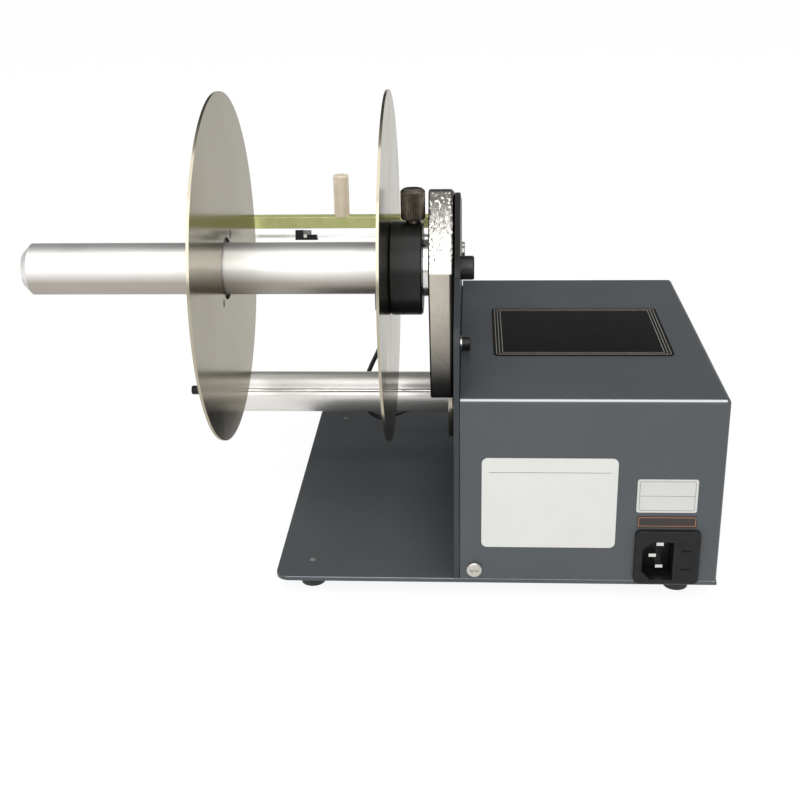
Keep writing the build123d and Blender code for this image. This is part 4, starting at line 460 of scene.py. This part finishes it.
def roundedOutline(width, height, corner, steps=8):
    # points round a rectangle about its middle, in millimetres
    points = []
    for centreX, centreY, start in (
        (width / 2 - corner, height / 2 - corner, 0),
        (-width / 2 + corner, height / 2 - corner, 90),
        (-width / 2 + corner, -height / 2 + corner, 180),
        (width / 2 - corner, -height / 2 + corner, 270),
    ):
        for step in range(steps + 1):
            angle = math.radians(start + 90 * step / steps)
            points.append((centreX + corner * math.cos(angle), centreY + corner * math.sin(angle)))
    return points


def addPlate(bm, outline, low, high):
    # a flat piece between two heights
    bottom = [bm.verts.new((x * mm, y * mm, low * mm)) for x, y in outline]
    top = [bm.verts.new((x * mm, y * mm, high * mm)) for x, y in outline]
    bm.faces.new(top)
    bm.faces.new(list(reversed(bottom)))
    for step in range(len(outline)):
        after = (step + 1) % len(outline)
        bm.faces.new((bottom[step], bottom[after], top[after], top[step]))


def addBand(bm, outer, inner, low, high):
    # a flat frame between two outlines with the same number of points
    rings = [
        [bm.verts.new((x * mm, y * mm, z * mm)) for x, y in outline]
        for outline, z in ((outer, low), (outer, high), (inner, high), (inner, low))
    ]
    for first, second in zip(rings, rings[1:]):
        for step in range(len(outer)):
            after = (step + 1) % len(outer)
            bm.faces.new((first[step], first[after], second[after], second[step]))


def flatPiece(name, matrix, finish, *parts):
    # parts: (outlines, low, high), a plate with one outline and a frame with two
    bm = bmesh.new()
    for outlines, low, high in parts:
        if len(outlines) == 1:
            addPlate(bm, outlines[0], low, high)
        else:
            addBand(bm, *outlines, low, high)
    bmesh.ops.transform(bm, matrix=matrix, verts=bm.verts)
    bmesh.ops.recalc_face_normals(bm, faces=bm.faces)
    return makePiece(name, bm, finish, "frame", smooth=False)


def backFacing(x, y, z):
    # local X to the right, local Y up, local Z out of the back face
    axes = Matrix(((1, 0, 0), (0, 0, -1), (0, 1, 0))).to_4x4()
    return Matrix.Translation(place(x, y, z)) @ axes


labelFinishes = {
    "nameplateWhite": dict(
        colour=(0.67, 0.67, 0.64), shade=(0.64, 0.64, 0.61), roughness=(0.3, 0.42),
        grainSize=0.8, bump=0.2, bumpDepth=0.01, mottleSize=25, coat=0.3,
    ),
    "stickerWhite": dict(
        colour=(0.60, 0.60, 0.575), shade=(0.57, 0.57, 0.545), roughness=(0.3, 0.42),
        grainSize=0.8, bump=0.2, bumpDepth=0.01, mottleSize=25, coat=0.2,
    ),
    "printGrey": dict(
        colour=(0.16, 0.16, 0.17), shade=(0.2, 0.2, 0.21), roughness=(0.35, 0.5),
        grainSize=0.6, bump=0.1, bumpDepth=0.005, mottleSize=5,
    ),
    "stripBlack": dict(
        colour=(0.022, 0.017, 0.014), shade=(0.03, 0.024, 0.02), roughness=(0.3, 0.45),
        grainSize=0.7, bump=0.2, bumpDepth=0.01, mottleSize=8,
    ),
    "copperPrint": dict(
        colour=(0.42, 0.17, 0.085), shade=(0.36, 0.14, 0.07), roughness=(0.35, 0.5),
        grainSize=0.6, bump=0.1, bumpDepth=0.005, mottleSize=5,
    ),
    "glossLabel": dict(
        colour=(0.004, 0.004, 0.0035), shade=(0.007, 0.0065, 0.006), roughness=(0.13, 0.24),
        grainSize=1.6, bump=0.5, bumpDepth=0.06, mottleSize=20, specular=0.06,
    ),
    "paleOutline": dict(
        colour=(0.30, 0.29, 0.26), shade=(0.24, 0.23, 0.21), roughness=(0.35, 0.5),
        grainSize=0.7, bump=0.1, bumpDepth=0.005, mottleSize=6,
    ),
}
materials.update({name: makeFinish(name, finish) for name, finish in labelFinishes.items()})

printHeight = 0.03

# nameplate, left bare but for a rule
nameplate = {
    "x": 48.9, "z": 48.1, "thick": 0.25, "outline": (74.2, 54.8, 3.3),
    "rule": (66.5, 0.3, 0.1, 2), "ruleUp": 18.8,
}
flatPiece(
    "nameplate", backFacing(nameplate["x"], 0, nameplate["z"]), "nameplateWhite",
    ([roundedOutline(*nameplate["outline"])], 0, nameplate["thick"]),
)
flatPiece(
    "nameplateRule", backFacing(nameplate["x"], 0, nameplate["z"] + nameplate["ruleUp"]),
    "printGrey",
    (
        [roundedOutline(*nameplate["rule"])],
        nameplate["thick"], nameplate["thick"] + printHeight,
    ),
)

# small sticker with a thin border and a divider
sticker = {
    "x": 113.3, "z": 53.1, "thick": 0.2, "outline": (33.0, 20.2, 1.4),
    "border": ((30.4, 17.8, 1.1), (29.9, 17.3, 0.9)),
    "divider": (30.0, 0.25, 0.08, 2), "dividerHeight": 0.025,
}
stickerMatrix = backFacing(sticker["x"], 0, sticker["z"])
flatPiece(
    "sticker", stickerMatrix, "stickerWhite",
    ([roundedOutline(*sticker["outline"])], 0, sticker["thick"]),
)
flatPiece(
    "stickerPrint", stickerMatrix, "printGrey",
    (
        [roundedOutline(*outline) for outline in sticker["border"]],
        sticker["thick"], sticker["thick"] + printHeight,
    ),
    (
        [roundedOutline(*sticker["divider"])],
        sticker["thick"], sticker["thick"] + sticker["dividerHeight"],
    ),
)

# narrow black strip over the inlet
strip = {
    "x": 114.0, "z": 37.3, "thick": 0.2, "outline": (32.8, 6.8, 0.3, 2),
    "border": ((31.6, 5.6, 0.3, 2), (30.9, 4.9, 0.2, 2)),
}
stripMatrix = backFacing(strip["x"], 0, strip["z"])
flatPiece(
    "strip", stripMatrix, "stripBlack",
    ([roundedOutline(*strip["outline"])], 0, strip["thick"]),
)
flatPiece(
    "stripFrame", stripMatrix, "copperPrint",
    (
        [roundedOutline(*outline) for outline in strip["border"]],
        strip["thick"], strip["thick"] + printHeight,
    ),
)

# glossy label on the cover's top with three nested outlines
topLabel = {
    "x": 71.4, "y": 111.2, "z": 110, "width": 104.9, "depth": 88.9, "corner": 4.0,
    "thick": 0.3, "insets": (1.6, 3.4, 5.2), "line": 0.45, "leastCorners": (0.8, 0.5),
}


def topOutline(inset, leastCorner=0):
    # the label's outline, moved inwards
    return roundedOutline(
        topLabel["width"] - 2 * inset, topLabel["depth"] - 2 * inset,
        max(topLabel["corner"] - inset, leastCorner),
    )


topMatrix = Matrix.Translation(place(topLabel["x"], topLabel["y"], topLabel["z"]))
flatPiece("topLabel", topMatrix, "glossLabel", ([topOutline(0)], 0, topLabel["thick"]))
flatPiece(
    "topLabelOutlines", topMatrix, "paleOutline",
    *(
        (
            [
                topOutline(inset + across, leastCorner)
                for across, leastCorner in zip((0, topLabel["line"]), topLabel["leastCorners"])
            ],
            topLabel["thick"], topLabel["thick"] + printHeight,
        )
        for inset in topLabel["insets"]
    ),
)
print("labels placed")

# knurled thumbscrews of the two hubs
thumbscrew = {
    "radius": 7.0, "low": 29.0, "high": 46.0, "bevel": 1.3, "foot": 0.7,
    "shank": (2.4, 15.6), "collar": (4.0, 27.0), "dish": (0.5, 0.3), "steps": 264,
    "flutes": 44, "fluteDepth": 0.42, "lean": {"innerKnob": 0.0, "outerKnob": 18.0},
}
knobTop = thumbscrew["high"]
flatRadius = thumbscrew["radius"] - thumbscrew["bevel"]
knobProfile = [
    thumbscrew["shank"], (thumbscrew["shank"][0], thumbscrew["collar"][1]),
    (thumbscrew["collar"][0], thumbscrew["collar"][1] + 0.1),
    (thumbscrew["collar"][0], thumbscrew["low"]),
    (thumbscrew["radius"] - thumbscrew["foot"], thumbscrew["low"]),
    (thumbscrew["radius"], thumbscrew["low"] + thumbscrew["foot"]),
    (thumbscrew["radius"], knobTop - thumbscrew["bevel"]),
    (flatRadius, knobTop),
    (flatRadius - thumbscrew["dish"][0], knobTop),
    (flatRadius - 2 * thumbscrew["dish"][0], knobTop - thumbscrew["dish"][1]),
    (0.001, knobTop - thumbscrew["dish"][1]),
]
knobFlutes = {
    "count": thumbscrew["flutes"], "depth": thumbscrew["fluteDepth"],
    "low": thumbscrew["low"] + 0.65, "high": knobTop - thumbscrew["bevel"] + 0.05,
}
reelAxis = place(0, 75, 161)
for side in ("inner", "outer"):
    knobName, nodeName = side + "Knob", side + "_thumbscrew"
    low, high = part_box(nodeName)
    knobMatrix = (
        Matrix.Translation(Vector(((low.x + high.x) / 2, reelAxis.y, reelAxis.z)))
        @ Matrix.Rotation(math.radians(thumbscrew["lean"][knobName]), 4, "X")
    )
    knobMesh = turnedMesh(knobProfile, thumbscrew["steps"], knobMatrix, knobFlutes)
    knob = makePiece(knobName, knobMesh, "bronzeBlack", side + "_knob")
    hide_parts(nodeName)
print("thumbscrews knurled")

# reel arm: a cast and plated bar, hammered on its upper face and rounder towards the plate
arm = {
    "outline": [(77, 79), (52, 164), (76, 205.5), (82, 205.5), (108, 164), (97, 79)],
    "spans": [30, 112, 6, 40, 30, 12], "hammeredSide": 1,
    "left": -18.5, "thick": 15.0, "corner": 2.0, "leastCorner": 0.35, "cornerSteps": 5,
    "leftEdge": 1.0, "leftSteps": 4, "rightEdge": 3.0, "rightSteps": 8, "stations": 34,
    "dent": 0.34, "dentSize": 1.25, "fineDent": (0.5, 2.1), "dentEnds": (5, 12),
    "dentInset": 0.6, "crown": 0.7,
}


def insetCorner(index, inset):
    # the corner of the outline after each side has moved inwards
    points = arm["outline"]
    before, here = Vector(points[index - 1]), Vector(points[index])
    after = Vector(points[(index + 1) % len(points)])
    first, second = (here - before).normalized(), (after - here).normalized()
    inward = Vector((first.y, -first.x))
    turn = inward + Vector((second.y, -second.x))
    spread = 1 + inward.dot(Vector((second.y, -second.x)))
    return here + turn * (inset / spread), first, second


def armRing(inset):
    # (y, z, share along the hammered side or None) round the bar, the same count for each inset
    count = len(arm["outline"])
    corners = [insetCorner(index, inset) for index in range(count)]
    radius = max(arm["corner"] - inset, arm["leastCorner"])
    arcs = []
    for spot, first, second in corners:
        half = first.angle(second) / 2
        reach = radius * math.tan(half)
        start, end = spot - first * reach, spot + second * reach
        arc = []
        for step in range(arm["cornerSteps"] + 1):
            share = step / arm["cornerSteps"]
            low, high = start.lerp(spot, share), spot.lerp(end, share)
            arc.append(low.lerp(high, share))
        arcs.append(arc)
    ring = []
    for index in range(count):
        ring += [(point.x, point.y, None) for point in arcs[index]]
        start, end = arcs[index][-1], arcs[(index + 1) % count][0]
        for step in range(1, arm["spans"][index]):
            share = step / arm["spans"][index]
            point = start.lerp(end, share)
            onHammered = index == arm["hammeredSide"]
            ring.append((point.x, point.y, share if onHammered else None))
    return ring


def armStations():
    # (distance from the left face, inset) across the bar's thickness
    stations = []
    edge = arm["leftEdge"]
    for step in range(arm["leftSteps"] + 1):
        angle = math.radians(90 - 90 / arm["leftSteps"] * step)
        stations.append((edge * (1 - math.sin(angle)), edge * (1 - math.cos(angle))))
    low, high = arm["leftEdge"], arm["thick"] - arm["rightEdge"]
    for step in range(1, arm["stations"]):
        stations.append((low + (high - low) * step / arm["stations"], 0.0))
    edge = arm["rightEdge"]
    for step in range(arm["rightSteps"] + 1):
        angle = math.radians(90 / arm["rightSteps"] * step)
        stations.append((high + edge * math.sin(angle), edge * (1 - math.cos(angle))))
    return stations


fineShare, fineScale = arm["fineDent"]
lowEnd, highEnd = arm["dentEnds"]
armMesh = bmesh.new()
armRings = []
for across, inset in armStations():
    ring = []
    for y, z, share in armRing(inset):
        if share is not None and inset < arm["dentInset"]:
            # dents lean on a smooth noise, and die out at the bend and at the top edge
            spot = Vector((across, y, z)) / arm["dentSize"]
            hollow = noise.noise(spot) + fineShare * noise.noise(spot * fineScale)
            depth = arm["dent"] * hollow * min(1, share * lowEnd, (1 - share) * highEnd)
            depth -= arm["crown"] * 4 * share * (1 - share)
            y -= litHammeredFace["direction"][1] * depth
            z -= litHammeredFace["direction"][2] * depth
        ring.append(armMesh.verts.new(place(arm["left"] + across, y, z)))
    armRings.append(ring)
for first, second in zip(armRings, armRings[1:]):
    for step in range(len(first)):
        after = (step + 1) % len(first)
        armMesh.faces.new((first[step], first[after], second[after], second[step]))
armMesh.faces.new(armRings[0])
armMesh.faces.new(list(reversed(armRings[-1])))
bmesh.ops.recalc_face_normals(armMesh, faces=armMesh.faces)
castArm = makePiece("castArm", armMesh, "castPlated", "frame")
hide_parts("reel_arm")
print("arm hammered")

# sensor lead: the same points as the CAD tube
lead = {
    "points": [
        (-51.2, 192, 99), (-51.2, 192, 84), (-57.5, 195, 68), (-66.0, 197, 50.5),
        (-70.5, 199, 33), (-68.0, 200, 19), (-57.5, 201, 12), (-41.5, 202, 18.5),
        (-25.5, 203, 24.5), (-13.0, 204, 27), (1.0, 204, 27),
    ],
    "length": 0.156,
    "diameter": 3.2,
    "roundness": 6,
    "steps": 12,
}
leadCurve = bpy.data.curves.new("sensorLead", "CURVE")
leadCurve.dimensions = "3D"
leadCurve.bevel_depth = lead["diameter"] / 2 * mm
leadCurve.bevel_resolution = lead["roundness"]
leadCurve.resolution_u = lead["steps"]
leadLine = leadCurve.splines.new("NURBS")
leadLine.points.add(len(lead["points"]) - 1)
for point, spot in zip(leadLine.points, lead["points"]):
    point.co = (*place(*spot), 1)
leadLine.order_u = 3
leadLine.use_endpoint_u = True
sensorLead = bpy.data.objects.new("sensorLead", leadCurve)
bpy.context.scene.collection.objects.link(sensorLead)
materials["leadJacket"] = makeFinish("leadJacket", dict(
    colour=(0.013, 0.013, 0.014), shade=(0.02, 0.02, 0.021), roughness=(0.35, 0.5),
    grainSize=0.6, bump=0.25, bumpDepth=0.02, mottleSize=6,
))
leadCurve.materials.append(materials["leadJacket"])
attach(sensorLead, "frame")
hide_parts("sensor_cable")
print("sensor lead laid")

# floor: it glows for the camera and in reflections, and keeps the shadow
floor = {
    "colour": (0.86, 0.86, 0.86, 1), "roughness": 0.9, "specular": 0.1, "glow": 1.14,
    "glowShare": 0.78, "reach": 12,
}
floorMaterial = bpy.data.materials.new("studioFloor")
floorMaterial.use_nodes = True
floorTree = floorMaterial.node_tree
floorShader = floorTree.nodes["Principled BSDF"]
floorShader.inputs["Base Color"].default_value = floor["colour"]
floorShader.inputs["Roughness"].default_value = floor["roughness"]
floorShader.inputs["Specular IOR Level"].default_value = floor["specular"]
floorGlow = addNode(floorTree, "ShaderNodeEmission", Strength=floor["glow"])
floorGlow.inputs["Color"].default_value = (1, 1, 1, 1)
lightPath = addNode(floorTree, "ShaderNodeLightPath")
seen = addNode(floorTree, "ShaderNodeMath", operation="MAXIMUM")
floorTree.links.new(lightPath.outputs["Is Camera Ray"], seen.inputs[0])
floorTree.links.new(lightPath.outputs["Is Glossy Ray"], seen.inputs[1])
glowing = addNode(floorTree, "ShaderNodeMath", operation="MULTIPLY")
glowing.inputs[1].default_value = floor["glowShare"]
floorTree.links.new(seen.outputs[0], glowing.inputs[0])
floorMix = addNode(floorTree, "ShaderNodeMixShader")
floorTree.links.new(glowing.outputs[0], floorMix.inputs[0])
floorTree.links.new(floorShader.outputs[0], floorMix.inputs[1])
floorTree.links.new(floorGlow.outputs[0], floorMix.inputs[2])
floorTree.links.new(floorMix.outputs[0], floorTree.nodes["Material Output"].inputs["Surface"])
floorMesh = bpy.data.meshes.new("studioFloor")
reach = floor["reach"]
floorCorners = [(-reach, -reach, 0), (reach, -reach, 0), (reach, reach, 0), (-reach, reach, 0)]
floorMesh.from_pydata(floorCorners, [], [(0, 1, 2, 3)])
studioFloor = bpy.data.objects.new("studioFloor", floorMesh)
bpy.context.scene.collection.objects.link(studioFloor)
floorMesh.materials.append(floorMaterial)

# world: bright in front and near the horizon, dark behind and above
studioLight = {
    "front": (0.70, 0.70, 0.70), "back": (0.13, 0.13, 0.13), "strength": 1.0,
    "behind": (0.0, 0.55), "above": (0.08, 0.30),
}
world = bpy.data.worlds.new("studioWorld")
bpy.context.scene.world = world
world.use_nodes = True
worldTree = world.node_tree
background = worldTree.nodes["Background"]
background.inputs["Strength"].default_value = studioLight["strength"]
direction = addNode(worldTree, "ShaderNodeTexCoord")
split = addNode(worldTree, "ShaderNodeSeparateXYZ")
worldTree.links.new(direction.outputs["Generated"], split.inputs[0])
behind = rangeOf(worldTree, split.outputs["Y"], 0, 1, *studioLight["behind"])
above = rangeOf(worldTree, split.outputs["Z"], 0, 1, *studioLight["above"])
dark = multiplied(worldTree, behind, above)
skyColour = mixColours(worldTree, dark, studioLight["front"], studioLight["back"])
worldTree.links.new(skyColour, background.inputs["Color"])

lamps = [
    {
        "name": "frontSoftbox", "spot": (-0.1, -1.45, 1.08), "aim": (0, 0, 0.1),
        "size": (1.9, 1.5), "power": 17,
    },
    {
        "name": "topSoftbox", "spot": (0.1, -0.35, 1.7), "aim": (0, 0, 0.1),
        "size": (1.7, 1.0), "power": 7,
    },
]
for lamp in lamps:
    lampData = bpy.data.lights.new(lamp["name"], "AREA")
    lampData.shape = "RECTANGLE"
    lampData.size, lampData.size_y = lamp["size"]
    lampData.energy = lamp["power"]
    lampObject = bpy.data.objects.new(lamp["name"], lampData)
    lampObject.location = lamp["spot"]
    sight = Vector(lamp["aim"]) - Vector(lamp["spot"])
    lampObject.rotation_euler = sight.to_track_quat("-Z", "Y").to_euler()
    bpy.context.scene.collection.objects.link(lampObject)
print("floor and lamps placed")
